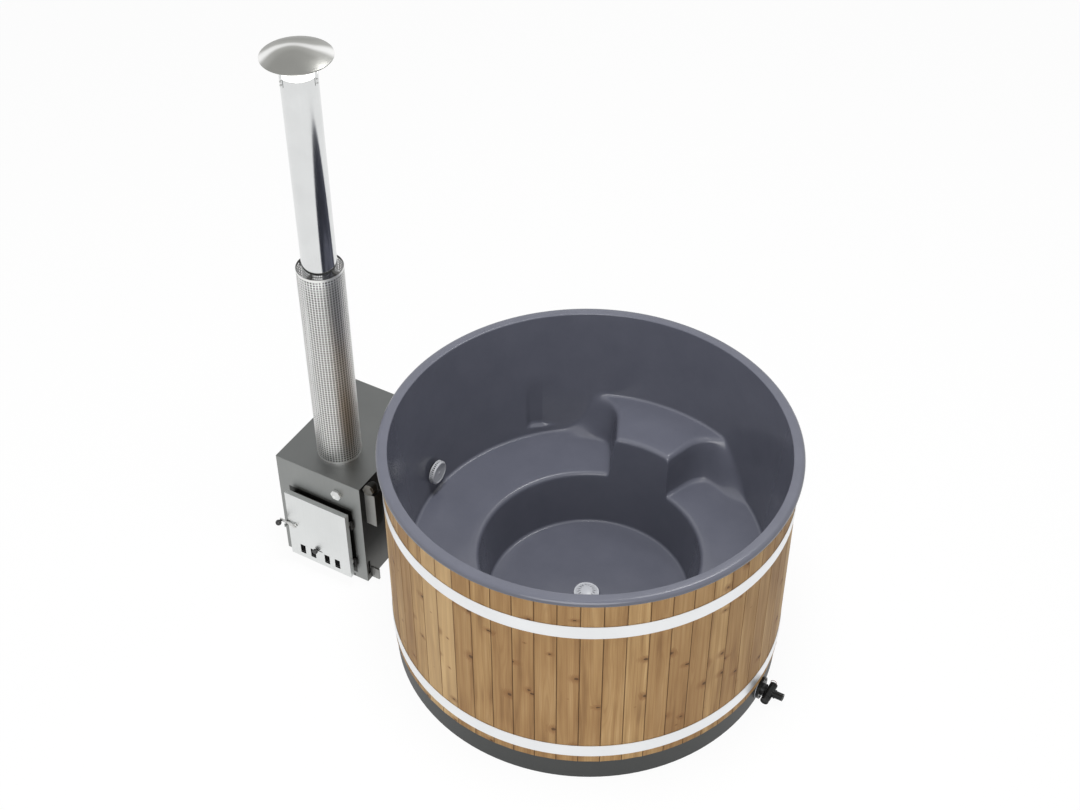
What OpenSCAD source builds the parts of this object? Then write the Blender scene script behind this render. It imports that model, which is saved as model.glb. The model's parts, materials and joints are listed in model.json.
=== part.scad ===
// Wood-fired hot tub: a moulded liner in a shell of upright boards, with an outside stove.
// Origin: tub axis at ground level. +Z is up, the stove stands on -X, its door faces -Y.

/* [Rim and liner] */
// Height of the rim above the ground
tub_h = 1078; // [1040:1:1140]
// Outer diameter of the rim
rim_d = 1700; // [1690:1:1800]
// Depth of the rim's hanging lip
lip_h = 22; // [18:1:30]
// Rounding of the rim's outer edge
rim_round = 16; // [10:1:18]
// Rounding where the rim turns into the basin
mouth_round = 20; // [10:1:24]
// Wall thickness of the liner
liner_t = 6; // [4:0.5:7]
// Basin radius at the rim
basin_top_r = 791; // [770:1:792]
// Basin radius at the benches
basin_low_r = 748; // [700:1:750]
// Height of the benches
bench_z = 452; // [430:1:500]
// Height of the entry step
step_z = 648; // [600:1:700]
// Radius of the concave fillets
cove_r = 15; // [8:1:18]
// Footwell radius at the bench
well_top_r = 467; // [440:1:480]
// Footwell radius at the floor
well_floor_r = 435; // [400:1:438]
// Height of the footwell floor
floor_z = 187; // [180:1:200]
// How far the footwell is set towards the drain valve
well_shift = 10; // [0:1:12]
// Direction of the step's left side
step_left_dir = 116; // [112:0.5:120]
// Direction of the step's right side
step_right_dir = 71; // [66:0.5:75]
// Draft angle of the step's sides
step_draft = 7; // [3:0.5:10]
// Width of the upright recess in the basin wall
recess_w = 105; // [80:1:120]
// Height of the recess
recess_h = 256; // [200:1:280]
// Height of the recess's lower edge
recess_z = 492; // [480:1:520]
// Direction of the recess from the tub axis
recess_dir = 136; // [130:0.5:142]

/* [Boards and hoops] */
// Number of upright boards
stave_count = 60; // [54:1:66]
// Distance from the tub axis to a board's face
stave_face_r = 831.6; // [828:0.2:834]
// Board thickness
stave_t = 26; // [22:0.5:27]
// Angle of the first board joint
stave_phase = 2.35; // [0:0.05:5]
// Chamfer along each board edge
stave_chamfer = 2.5; // [1:0.5:4]
// Gap in a board joint
stave_gap = 0.4; // [0.3:0.1:0.8]
// Thickness of a board's tongue
tongue_t = 7; // [5:0.5:9]
// Length of a board's tongue
tongue_l = 6; // [4:0.5:8]
// Height of a hoop
hoop_h = 64; // [50:1:70]
// Thickness of a hoop
hoop_t = 1.5; // [1:0.1:2.5]
// Centre height of the upper hoop
upper_hoop_z = 896; // [860:1:960]
// Centre height of the lower hoop
lower_hoop_z = 184; // [170:1:190]
// Gap between the ears of a hoop
hoop_gap = 14; // [8:1:24]
// How far a hoop's ears stand out
ear_l = 32; // [26:1:40]
// Radius of a hoop bolt
hoop_bolt_r = 4; // [3:0.5:5]

/* [Base and supports] */
// Outer radius of the base tray
tray_r = 823.6; // [818:0.2:826]
// Height of the base tray
tray_h = 114; // [108:1:118]
// Wall thickness of the base tray
tray_t = 6; // [4:0.5:8]
// Height of the tray's locating ring above its ledge
upstand_h = 24; // [15:1:30]
// Width of a timber post
post_w = 48; // [40:1:60]
// Depth of a timber post
post_d = 98; // [80:1:110]
// Distance of the posts from the tub axis
post_r = 600; // [570:1:630]
// Radius of the foam block under the footwell
foam_r = 428; // [380:1:430]

/* [Water pipes] */
// Outer radius of the water pipes
pipe_r = 32; // [28:1:34]
// Wall thickness of the water pipes
pipe_t = 4; // [3:0.5:5]
// Height of the upper (hot) pipe
upper_pipe_z = 560; // [550:1:562]
// Height of the lower (return) pipe
lower_pipe_z = 262; // [258:1:290]
// Direction of the return fitting in the footwell
return_dir = 222; // [214:1:228]
// How far the return fitting reaches from the footwell axis to the near side of its elbow
return_reach = 612; // [600:1:630]
// Radius of a grille
grille_r = 52.5; // [50:0.5:54]
// Depth of a grille
grille_d = 22; // [16:1:26]
// Number of slots round a grille's edge
grille_slots = 36; // [24:1:40]
// Width of a grille slot
slot_w = 4.6; // [3:0.1:5]
// Wall thickness of the rubber hoses
hose_t = 6; // [4:0.5:8]
// How far a hose is pushed over each pipe end
hose_grip = 30; // [24:1:34]

/* [Floor drain] */
// Outer radius of the drain fitting
drain_r = 25; // [22:0.5:27]
// Bore radius of the drain fitting
drain_bore_r = 20; // [18.5:0.5:20.5]
// Radius of the drain's flange
drain_flange_r = 54; // [50:1:60]
// Radius of the domed strainer
strainer_r = 48; // [44:1:49]
// Height of the strainer's dome
strainer_h = 13; // [10:1:18]
// Height of the drain pipe and of the drain valve
drain_z = 57; // [55:1:60]

/* [Drain valve] */
// Radius of the valve's wall flange
valve_flange_r = 48; // [44:1:50]
// Distance from the flange face to the valve's cross axis
valve_reach = 32; // [30:1:44]
// How far the valve's water way sits below the middle of the drain pipe
valve_drop = 6; // [0:0.5:6]
// Outer radius of the valve's cross barrel
valve_barrel_r = 19; // [17:0.5:21]
// Radius of the turning plug
plug_r = 14; // [12:0.5:15]
// Radius of the water way
valve_bore_r = 8.5; // [7:0.5:8.5]
// Radius of the valve knob
valve_knob_r = 17; // [15:0.5:19]
// Outer radius of the outlet spigot
spigot_r = 16; // [13:0.5:17]
// Length of the outlet spigot
spigot_l = 40; // [35:1:60]

/* [Stove casing] */
// Width of the stove, along X
casing_w = 436.4; // [420:0.2:460]
// Depth of the stove, along Y
casing_d = 588; // [560:1:640]
// Height of the casing itself
casing_h = 571; // [565:1:600]
// Height of the feet
foot_h = 30; // [20:1:40]
// Gap between boards and casing at the pipes
stove_gap = 109.4; // [100:0.2:140]
// How far the stove's middle lies behind the pipe line's zero
stove_shift = -7.5; // [-20:0.5:0]
// Sheet thickness of the casing
casing_t = 2.5; // [1.5:0.1:3]
// Air gap between casing and water jacket
air_gap = 8; // [5:0.5:10]

/* [Water jacket and firebox] */
// Plate thickness of the water jacket
jacket_t = 4; // [3:0.5:5]
// Width of the water space at the sides
water_gap = 28; // [20:1:32]
// Height of the firebox ceiling
firebox_top_z = 465; // [450:1:470]
// Width of the fuel opening
mouth_w = 262; // [240:1:266]
// Lower edge of the fuel opening
mouth_z0 = 92; // [90:1:96]
// Upper edge of the fuel opening
mouth_z1 = 408; // [390:1:410]
// Plate thickness of the door frame
frame_t = 12; // [8:1:13]
// How far the door frame stands out of the casing
frame_proud = 14.5; // [12:0.5:16]
// Height of the fire grate
grate_z = 147; // [146:1:160]
// Thickness of the fire grate
grate_t = 14; // [10:1:18]

/* [Chimney] */
// Chimney axis from the stove's middle, along Y
flue_back = -122.5; // [-130:0.5:-100]
// Outer radius of the flue pipe
flue_r = 72; // [68:0.5:76]
// Wall thickness of the flue pipe
flue_t = 2; // [1:0.1:2.5]
// Length of the flue pipe
flue_l = 1873; // [1700:1:2100]
// Outer radius of the perforated guard
guard_r = 96.5; // [92:0.5:100]
// Wall thickness of the guard
guard_t = 1.5; // [1:0.1:2]
// Length of the guard
guard_l = 997; // [900:1:1100]
// Radius of the rain cap
cap_r = 137.5; // [130:0.5:150]
// Height of the rain cap's dome
cap_h = 36; // [28:1:45]
// Gap between the flue pipe and the rain cap's edge
cap_gap = 72; // [60:1:90]

/* [Stove door] */
// Width of the door
door_w = 320.5; // [316:0.5:324]
// Height of the door
door_h = 376; // [372:1:380]
// Depth of the door's folded edge
door_d = 24; // [21:0.5:26]
// Left edge of the door from the casing's left edge
door_x = 58.4; // [56:0.2:60]
// Lower edge of the door above the ground
door_z = 66; // [64:1:68]
// Gap between casing and the door's folded edge
door_standoff = 21; // [20:0.5:23]
// Sheet thickness of the door
door_t = 2; // [1.5:0.1:2.5]
// Radius of the hinge pins
hinge_pin_r = 3.5; // [3:0.1:4]
// Outer radius of the hinge knuckles
knuckle_r = 5.5; // [5:0.1:6]
// Length of one hinge knuckle
knuckle_l = 22; // [16:1:30]

/* [Air damper] */
// Width of an air vent
vent_w = 27; // [22:0.5:27]
// Height of an air vent
vent_h = 51; // [40:1:52]
// Lower edge of the air vents
vent_z = 92; // [91:1:94]
// Travel of the damper slide
damper_travel = 28; // [27:0.5:29]
// Height of the damper knob
damper_knob_z = 151; // [149:0.5:152]
// Radius of the damper knob
damper_knob_r = 12; // [10:0.5:14]

/* [Door latch] */
// Latch pivot from the door's left edge
latch_in = 38; // [34:1:42]
// Height of the latch pivot
latch_z = 257; // [250:1:262]
// Length of the latch lever
latch_l = 77; // [72:1:90]
// Height of the latch lever's bar
latch_bar_h = 14; // [12:0.5:16]
// Thickness of the latch lever's bar
latch_bar_t = 6; // [4:0.5:7]
// Angle at which the unlatched lever is parked
latch_park = 4.5; // [4:0.5:6]
// Radius of the ball knob
ball_r = 13.5; // [12:0.5:16]

/* [Plugs and side ducts] */
// Width across flats of the hexagon plugs
plug_af = 46; // [40:1:50]
// Height of a hexagon plug's head
plug_head = 12; // [8:1:16]
// Front plug from the casing's right edge
front_plug_in = 122; // [110:1:140]
// Height of the front plug
front_plug_z = 518; // [505:1:530]
// Width of the riser duct
riser_w = 52; // [46:1:56]
// Depth of the riser duct
riser_d = 50; // [44:1:60]
// Lower end of the riser duct
riser_z0 = 377; // [360:1:400]
// Upper end of the riser duct
riser_z1 = 560; // [540:1:565]
// Distance of the ducts behind the casing front
duct_back = 32.5; // [30:0.5:40]
// Width of the folded lug at the foot of the stove's side
lug_w = 38; // [34:1:50]
// Height of the lug
lug_h = 61; // [50:1:70]
// Depth of the lug
lug_d = 10; // [8:1:16]

/* [Hidden] */
$fn = 96;

// Clearances
seat = 0.3;
run_fit = 0.05;
eps = 1;
far = 3000;

// Rim and liner
rim_r = rim_d / 2;
lip_in = max(0, basin_top_r + mouth_round - stave_face_r + stave_t);
stave_top_z = tub_h - mouth_round + sqrt(pow(mouth_round - liner_t, 2) - lip_in * lip_in) - 2 * seat;
well_slope = (well_top_r - well_floor_r) / (bench_z - floor_z);
basin_slope = (basin_top_r - basin_low_r) / (tub_h - mouth_round - bench_z);
arc_steps = 6;

// Boards and hoops
stave_half = 180 / stave_count;
stave_corner_r = stave_face_r / cos(stave_half);
hoop_in_r = stave_corner_r + seat;
hoop_bolt_up = hoop_h / 4;
ear_t = 3;
nut_t = 6;

// Pipes: both run along X at the stove's middle
pipe_y = stove_shift;
pipe_bore_r = pipe_r - pipe_t;
boss_r = grille_r + 2;
boss_in = 10;
boss_out = 14;
upper_boss_r = basin_low_r + (upper_pipe_z - bench_z) * basin_slope - boss_in;
lower_boss_r = well_floor_r + (lower_pipe_z - floor_z) * well_slope - boss_in;
fitting_flange_t = 4;
fitting_flange_r = pipe_r + 10;
pipe_end_r = stave_face_r + 6 + hose_grip;
fitting_nut_t = 12;
socket_r0 = lower_boss_r + 70;
elbow_reach = return_reach + 1.5 * pipe_r;
elbow_at = [well_shift + elbow_reach * cos(return_dir), elbow_reach * sin(return_dir)];

// Drain and valve
valve_pad_x = tray_r + 2.4;
washer_t = 2;
flange_t = 13;
valve_face_x = valve_pad_x + washer_t + 2 * seat + flange_t;
valve_x = valve_face_x + valve_reach;
valve_z = drain_z - valve_drop;
barrel_front_y = -36;
barrel_back_y = 16;
cap_end_y = -56;
knob_front_y = barrel_back_y + 1;
knob_end_y = 44;
outlet_x = valve_x + valve_barrel_r + 2;
spigot_end_x = outlet_x + seat + spigot_l;

// Stove casing, outer faces
cas_x1 = -(stave_face_r + stove_gap);
cas_x0 = cas_x1 - casing_w;
cas_y0 = stove_shift - casing_d / 2;
cas_y1 = cas_y0 + casing_d;
cas_z0 = foot_h;
cas_z1 = foot_h + casing_h;
cas_mid_x = (cas_x0 + cas_x1) / 2;

// Water jacket, outer faces, and the firebox inside it
jac_in = casing_t + air_gap;
jac_x0 = cas_x0 + jac_in;
jac_x1 = cas_x1 - jac_in;
jac_y0 = cas_y0 + jac_in;
jac_y1 = cas_y1 - jac_in;
jac_z0 = cas_z0 + jac_in;
jac_z1 = cas_z1 - jac_in;
shell_in = 2 * jacket_t + water_gap;
fire_x0 = jac_x0 + shell_in;
fire_x1 = jac_x1 - shell_in;
fire_y0 = jac_y0 + jacket_t;
fire_y1 = jac_y1 - shell_in;
fire_z0 = jac_z0 + shell_in;
stub_x = cas_x1 + 6 + hose_grip;
ledge = 12;

// Chimney
flue_x = cas_mid_x;
flue_y = stove_shift + flue_back;
flue_z0 = cas_z1 + seat;
flue_z1 = flue_z0 + flue_l;
neck_r = flue_r - flue_t - seat;
neck_t = 3;
neck_up = 60;
guard_z1 = flue_z0 + guard_l;
cap_z = flue_z1 + cap_gap;
cap_t = 1.5;
cap_ball_r = (cap_r * cap_r + cap_h * cap_h) / (2 * cap_h);
leg_angles = [-113, 7, 127];
leg_w = 16;
leg_t = 2;
leg_down = 34;
leg_out = 20;

// Door
door_x0 = cas_x0 + door_x;
door_x1 = door_x0 + door_w;
door_z1 = door_z + door_h;
door_back_y = cas_y0 - door_standoff;
door_face_y = door_back_y - door_d;
door_in_y = door_face_y + door_t;
frame_y = cas_y0 - frame_proud;
door_mid_x = (door_x0 + door_x1) / 2;
mouth_x0 = door_mid_x - mouth_w / 2;
mouth_x1 = door_mid_x + mouth_w / 2;
gasket_t = 8;
gasket_y = frame_y - seat;
plate_t = 3;
plate_y = gasket_y - gasket_t;
plate_lip = 2;
hinge_x = door_x1 + knuckle_r;
hinge_y = cas_y0 - knuckle_r - 5;
hinge_zs = [door_z + 50, door_z1 - 50 - 2 * knuckle_l];

// Air damper
vent_xs = [door_x0 + 52.5, door_x0 + 107.5, door_x0 + 182.5, door_x0 + 238];
slide_t = 2;
slide_y = door_in_y + seat;
slide_z0 = vent_z - 8;
slide_z1 = damper_knob_z + 9;
slide_x0 = vent_xs[0] - 22;
slide_x1 = vent_xs[3] + vent_w + 6;
damper_x = vent_xs[1] + 34;
shaft_r = 2.3;
rail_t = 3;
stud_r = 4;
stud_xs = [door_x0 + 25, door_x1 - 25];
stud_zs = [slide_z1 + 24, door_z1 - 28];

// Door latch
latch_x = door_x0 + latch_in;
latch_y = door_face_y - 4 - latch_bar_t;
latch_bolt_r = 4;
latch_hub_r = 11;
catch_x = door_x0 - 11;
catch_t = 4;
catch_arm = latch_x - catch_x - catch_t / 2;
catch_lip_z = latch_z + catch_arm * tan(latch_park) - latch_bar_h / 2 / cos(latch_park) - 1.2;
catch_floor_z = latch_z - catch_arm * tan(2) - latch_bar_h / 2 - 1.2;

// Ducts
duct_y = cas_y0 + duct_back;
riser_t = 3;
elbow_r = 22;
elbow_bore_r = 16;
elbow_x = cas_x1 + max(riser_w / 2, plug_af / 2 / cos(30) + 1);
elbow_z = riser_z1 + 30;
port_r = 14;
port_z = riser_z0 + 24;

// Points of an arc round c, from angle a0 to a1
function arc(c, r, a0, a1, n = arc_steps) =
    [for (i = [0 : n]) let (a = a0 + (a1 - a0) * i / n) [c[0] + r * cos(a), c[1] + r * sin(a)]];

// Height of the rain cap's outside at a distance r from its axis
function cap_top(r) = cap_z + sqrt(cap_ball_r * cap_ball_r - r * r) - cap_ball_r + cap_h;

// A box between two opposite corners
module block(a, b) {
    translate(a) cube([b[0] - a[0], b[1] - a[1], b[2] - a[2]]);
}

// A round bar along X, Y or Z between two coordinates
module bar_x(x0, x1, y, z, r) {
    translate([x0, y, z]) rotate([0, 90, 0]) cylinder(h = x1 - x0, r = r);
}

module bar_y(y0, y1, x, z, r) {
    translate([x, y1, z]) rotate([90, 0, 0]) cylinder(h = y1 - y0, r = r);
}

module bar_z(z0, z1, x, y, r) {
    translate([x, y, z0]) cylinder(h = z1 - z0, r = r);
}

// Places its children at the hot pipe, or at the return fitting, with +X leading outwards
module at_supply() {
    translate([0, pipe_y, upper_pipe_z]) rotate([0, 0, 180]) children();
}

module at_return() {
    translate([well_shift, 0, lower_pipe_z]) rotate([0, 0, return_dir]) children();
}

// A hexagonal prism along Z, given its width across flats
module hexagon(af, h) {
    cylinder(h = h, r = af / 2 / cos(30), $fn = 6);
}

// ---------------------------------------------------------------- liner

// Space inside the basin, above the benches
module basin_space() {
    cove = arc([basin_low_r - cove_r, bench_z + cove_r], cove_r, -90, 0);
    lip = arc([basin_top_r + mouth_round, tub_h - mouth_round], mouth_round, 180, 90);
    rotate_extrude() polygon(concat([[0, bench_z]], cove, lip,
        [[basin_top_r + mouth_round, tub_h + eps], [0, tub_h + eps]]));
}

// The basin and the rim with their outer surface, as one filled body
module basin_body() {
    corner = [rim_r - rim_round, tub_h - rim_round];
    inner_edge = arc(corner, rim_round - liner_t, 90, 0);
    outer_edge = arc(corner, rim_round, 0, 90);
    lip = arc([basin_top_r + mouth_round, tub_h - mouth_round], mouth_round - liner_t, 180, 90);
    rotate_extrude() polygon(concat([[0, bench_z - liner_t],
        [basin_low_r + liner_t, bench_z - liner_t]], lip, inner_edge,
        [[rim_r - liner_t, tub_h - lip_h], [rim_r, tub_h - lip_h]], outer_edge, [[0, tub_h]]));
}

// Footwell space, or its outer body when grown by the wall
module well_space(grow, top) {
    top_r = well_floor_r + (top - floor_z) * well_slope + grow;
    low = arc([well_floor_r - cove_r, floor_z + cove_r], cove_r + grow, -90, 0);
    translate([well_shift, 0, 0]) rotate_extrude()
        polygon(concat([[0, floor_z - grow]], low, [[top_r, top], [0, top]]));
}

// Half space on the step's side of a plane that leans by the draft angle
module step_half(dir, side, inset) {
    translate([0, 0, bench_z]) rotate([0, 0, dir]) rotate([side * step_draft, 0, 0])
        translate([-far / 2, side > 0 ? -far - inset : inset, -far / 2]) cube([far, far, far]);
}

// The entry step as a filled block; inset shrinks its sides and top
module step_block(inset, low) {
    left_at = [-176, 529, 0];
    right_at = [172, 529, 0];
    intersection() {
        translate(left_at) step_half(step_left_dir, 1, inset);
        translate(right_at) step_half(step_right_dir, -1, inset);
        block([-far, 0, low], [far, far, step_z - inset]);
    }
}

// Upright recess in the basin wall, or its outer body when grown
module recess_space(grow) {
    back_r = basin_low_r + (recess_z + recess_h - bench_z) * basin_slope + 2;
    rotate([0, 0, recess_dir]) block([back_r - 60, -recess_w / 2 - grow, recess_z - grow],
        [back_r + grow, recess_w / 2 + grow, recess_z + recess_h + grow]);
}

module liner() {
    color("dimgray") difference() {
        union() {
            difference() {
                union() {
                    basin_body();
                    recess_space(liner_t);
                }
                step_block(liner_t, bench_z - 2 * liner_t);
            }
            well_space(liner_t, step_z);
            at_supply() bar_x(upper_boss_r, upper_boss_r + boss_in + boss_out, 0, 0, boss_r);
            at_return() bar_x(lower_boss_r, lower_boss_r + boss_in + boss_out, 0, 0, boss_r);
        }
        difference() {
            basin_space();
            step_block(0, bench_z - eps);
            at_supply() bar_x(upper_boss_r, upper_boss_r + 40, 0, 0, boss_r);
        }
        difference() {
            well_space(0, step_z + eps);
            at_return() bar_x(lower_boss_r, lower_boss_r + 40, 0, 0, boss_r);
        }
        recess_space(0);
        at_supply() bar_x(upper_boss_r - eps, far, 0, 0, pipe_r + seat);
        at_return() bar_x(lower_boss_r - eps, far, 0, 0, pipe_r + seat);
        bar_z(0, floor_z + eps, 0, 0, drain_r + seat);
    }
}

// ---------------------------------------------------------------- boards and hoops

// One board, seen from above, with its face on +X
module stave_outline() {
    t = tan(stave_half);
    g = stave_gap / 2;
    face = stave_face_r;
    back = stave_face_r - stave_t;
    mid = stave_face_r - stave_t / 2;
    slot = tongue_t / 2 + 1;
    deep = tongue_l + 0.8;
    tip = mid * t - g + tongue_l;
    polygon([[face, -(face * t - g - stave_chamfer)], [face, face * t - g - stave_chamfer],
        [face - stave_chamfer, (face - stave_chamfer) * t - g],
        [mid + tongue_t / 2, (mid + tongue_t / 2) * t - g], [mid + tongue_t / 2, tip],
        [mid - tongue_t / 2, tip], [mid - tongue_t / 2, (mid - tongue_t / 2) * t - g],
        [back, back * t - g], [back, -(back * t - g)],
        [mid - slot, -((mid - slot) * t - g)], [mid - slot, -(mid * t - g) + deep],
        [mid + slot, -(mid * t - g) + deep], [mid + slot, -((mid + slot) * t - g)],
        [face - stave_chamfer, -((face - stave_chamfer) * t - g)]]);
}

module staves() {
    color("tan") difference() {
        for (i = [0 : stave_count - 1])
            rotate([0, 0, stave_phase + (2 * i + 1) * stave_half])
                translate([0, 0, tray_h + seat])
                    linear_extrude(stave_top_z - tray_h - seat) stave_outline();
        for (z = [upper_pipe_z, lower_pipe_z])
            bar_x(-stave_corner_r - 10, -stave_face_r + stave_t + 20, pipe_y, z, pipe_r + 3);
    }
}

// Open band whose ends turn out into two ears at the back
module hoop(mid_z) {
    out_r = hoop_in_r + hoop_t;
    color("gainsboro") translate([0, 0, mid_z - hoop_h / 2]) difference() {
        union() {
            difference() {
                cylinder(h = hoop_h, r = out_r, $fn = 180);
                translate([0, 0, -eps]) cylinder(h = hoop_h + 2 * eps, r = hoop_in_r, $fn = 180);
                block([-hoop_gap / 2, 0, -eps], [hoop_gap / 2, far, hoop_h + eps]);
            }
            for (side = [-1, 1])
                translate([side * (hoop_gap / 2 + ear_t / 2), out_r - 0.2 + ear_l / 2, hoop_h / 2])
                    cube([ear_t, ear_l, hoop_h], center = true);
        }
        for (z = [hoop_h / 2 - hoop_bolt_up, hoop_h / 2 + hoop_bolt_up])
            bar_x(-hoop_gap, hoop_gap, out_r + ear_l * 0.6, z, hoop_bolt_r + seat);
    }
}

module upper_hoop() {
    hoop(upper_hoop_z);
}

module lower_hoop() {
    hoop(lower_hoop_z);
}

// Places its children at each hoop bolt, with the bolt's own axis on +X
module at_hoop_bolts() {
    for (mid_z = [upper_hoop_z, lower_hoop_z])
        for (up = [-hoop_bolt_up, hoop_bolt_up])
            translate([0, hoop_in_r + hoop_t + ear_l * 0.6, mid_z + up])
                rotate([0, 90, 0]) children();
}

module hoop_bolts() {
    ear_face = hoop_gap / 2 + ear_t;
    color("silver") at_hoop_bolts() {
        translate([0, 0, -ear_face - seat - 5.5]) hexagon(13, 5.5);
        translate([0, 0, -ear_face - seat - eps])
            cylinder(h = 2 * ear_face + nut_t + 6, r = hoop_bolt_r);
    }
}

module hoop_nuts() {
    color("silver") at_hoop_bolts() translate([0, 0, hoop_gap / 2 + ear_t + seat]) difference() {
        hexagon(13, nut_t);
        translate([0, 0, -eps]) cylinder(h = nut_t + 2 * eps, r = hoop_bolt_r + run_fit);
    }
}

// ---------------------------------------------------------------- base and supports

module base_tray() {
    ledge_r = stave_face_r - stave_t - 2 * seat;
    color("darkslategray") difference() {
        union() {
            rotate_extrude() polygon([[0, 0], [tray_r, 0], [tray_r, tray_h], [ledge_r, tray_h],
                [ledge_r, tray_h + upstand_h], [ledge_r - tray_t, tray_h + upstand_h],
                [ledge_r - tray_t, tray_h - tray_t], [tray_r - tray_t, tray_h - tray_t],
                [tray_r - tray_t, tray_t], [0, tray_t]]);
            bar_x(tray_r - tray_t - 4, valve_pad_x, 0, drain_z, valve_flange_r + 3);
        }
        bar_x(0, far, 0, drain_z, drain_bore_r + seat);
    }
}

module floor_foam() {
    color("white") difference() {
        bar_z(tray_t + seat, floor_z - liner_t - seat, well_shift, 0, foam_r);
        bar_z(0, floor_z, 0, 0, drain_r + 25);
        block([0, -drain_r - 10, 0], [far, drain_r + 10, drain_z + drain_r + 10]);
    }
}

// Timber post from the base tray up to z1, at an angle round the tub
module post(dir, z1) {
    rotate([0, 0, dir]) block([post_r - post_d / 2, -post_w / 2, tray_t + seat],
        [post_r + post_d / 2, post_w / 2, z1]);
}

module bench_posts() {
    color("burlywood") for (dir = [18, 54, 126, 158, 236, 262, 288, 314, 340])
        post(dir, bench_z - liner_t - seat);
}

module step_posts() {
    color("burlywood") for (dir = [82, 98])
        post(dir, step_z - liner_t - seat);
}

// ---------------------------------------------------------------- water pipes

// Raised grille over a pipe mouth: a cup with slots round its edge, open towards the wall
module grille(wall_r) {
    wall = 3;
    dish = wall / 2;
    color("lightgray") translate([wall_r - seat, 0, 0]) rotate([0, -90, 0]) difference() {
        union() {
            cylinder(h = grille_d - 4, r = grille_r);
            translate([0, 0, grille_d - 4]) cylinder(h = 4, r1 = grille_r, r2 = grille_r - 4);
        }
        translate([0, 0, -eps]) cylinder(h = grille_d - wall + eps, r = grille_r - wall);
        translate([0, 0, grille_d - dish]) difference() {
            cylinder(h = wall, r = grille_r - 9);
            translate([0, 0, -eps]) cylinder(h = eps + dish - 0.5, r = 6);
        }
        for (i = [0 : grille_slots - 1])
            rotate([0, 0, i * 360 / grille_slots])
                block([grille_r - 8, -slot_w / 2, 3.5], [grille_r + eps, slot_w / 2, grille_d - 5.5]);
    }
}

module upper_grille() {
    at_supply() grille(upper_boss_r);
}

module lower_grille() {
    at_return() grille(lower_boss_r);
}

// Flanged pipe from the liner wall outwards to r1
module wall_fitting(wall_r, r1) {
    color("silver") difference() {
        union() {
            bar_x(wall_r - seat - fitting_flange_t, wall_r - seat, 0, 0, fitting_flange_r);
            bar_x(wall_r - seat - eps, r1, 0, 0, pipe_r);
        }
        bar_x(wall_r - 20, r1 + eps, 0, 0, pipe_bore_r);
    }
}

module upper_fitting() {
    at_supply() wall_fitting(upper_boss_r, pipe_end_r);
}

module lower_fitting() {
    at_return() wall_fitting(lower_boss_r, socket_r0 + 30 - seat);
}

module fitting_nut(wall_r) {
    translate([wall_r + boss_in + boss_out + seat, 0, 0]) rotate([0, 90, 0]) difference() {
        hexagon(2 * pipe_r + 20, fitting_nut_t);
        translate([0, 0, -eps]) cylinder(h = fitting_nut_t + 2 * eps, r = pipe_r + seat);
    }
}

module fitting_nuts() {
    color("darkgray") {
        at_supply() fitting_nut(upper_boss_r);
        at_return() fitting_nut(lower_boss_r);
    }
}

// Runs of the return pipe: socket to elbow, elbow to elbow, and out through the boards.
// Each elbow is a short upright drum that two runs enter from the side.
module return_runs(r, over, drum_r) {
    at_return() bar_x(socket_r0 + 30 - over, elbow_reach, 0, 0, r);
    bar_y(elbow_at[1], pipe_y, elbow_at[0], lower_pipe_z, r);
    bar_x(-pipe_end_r - over, elbow_at[0], pipe_y, lower_pipe_z, r);
    for (y = [elbow_at[1], pipe_y])
        bar_z(lower_pipe_z - drum_r, lower_pipe_z + drum_r, elbow_at[0], y, drum_r);
}

// Pipe under the bench, from the footwell's return fitting out to the lower hose
module return_pipe() {
    color("silver") difference() {
        union() {
            return_runs(pipe_r, 0, pipe_r + 5);
            at_return() bar_x(socket_r0, socket_r0 + 36, 0, 0, pipe_r + 6);
        }
        return_runs(pipe_bore_r, eps, pipe_bore_r + 3);
        at_return() bar_x(socket_r0 - eps, socket_r0 + 30, 0, 0, pipe_r + seat);
    }
}

// Rubber hose pushed over the tub's pipe end and the stove's stub
module hose(z) {
    x0 = stub_x - hose_grip;
    x1 = -pipe_end_r + hose_grip;
    color("black") difference() {
        bar_x(x0, x1, pipe_y, z, pipe_r + seat + hose_t);
        bar_x(x0 - eps, x1 + eps, pipe_y, z, pipe_r + seat);
    }
}

module upper_hose() {
    hose(upper_pipe_z);
}

module lower_hose() {
    hose(lower_pipe_z);
}

// Four band clamps, each with its worm-screw housing on top
module hose_clamps() {
    in_r = pipe_r + 2 * seat + hose_t;
    band_w = 12;
    band_t = 1.2;
    xs = [stub_x - hose_grip + 8, -pipe_end_r + hose_grip - 8 - band_w];
    color("silver") for (z = [upper_pipe_z, lower_pipe_z], x = xs) difference() {
        union() {
            bar_x(x, x + band_w, pipe_y, z, in_r + band_t);
            block([x, pipe_y - 9, z + in_r - 0.2], [x + band_w, pipe_y + 9, z + in_r + 9]);
        }
        bar_x(x - eps, x + band_w + eps, pipe_y, z, in_r);
        bar_y(pipe_y - 10, pipe_y - 3, x + band_w / 2, z + in_r + 5, 2.6);
    }
}

// ---------------------------------------------------------------- floor drain

module drain_body() {
    color("lightgray") difference() {
        union() {
            bar_z(floor_z + seat, floor_z + seat + 3, 0, 0, drain_flange_r);
            bar_z(drain_z - drain_r - 3, floor_z + 2, 0, 0, drain_r);
            bar_x(0, drain_r + 22, 0, drain_z, drain_r);
        }
        bar_z(drain_z - drain_bore_r, floor_z + 10, 0, 0, drain_bore_r - 3);
        bar_x(0, drain_r + 30, 0, drain_z, drain_bore_r - 3);
        bar_x(drain_r + 2, drain_r + 30, 0, drain_z, drain_bore_r + seat);
    }
}

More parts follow.
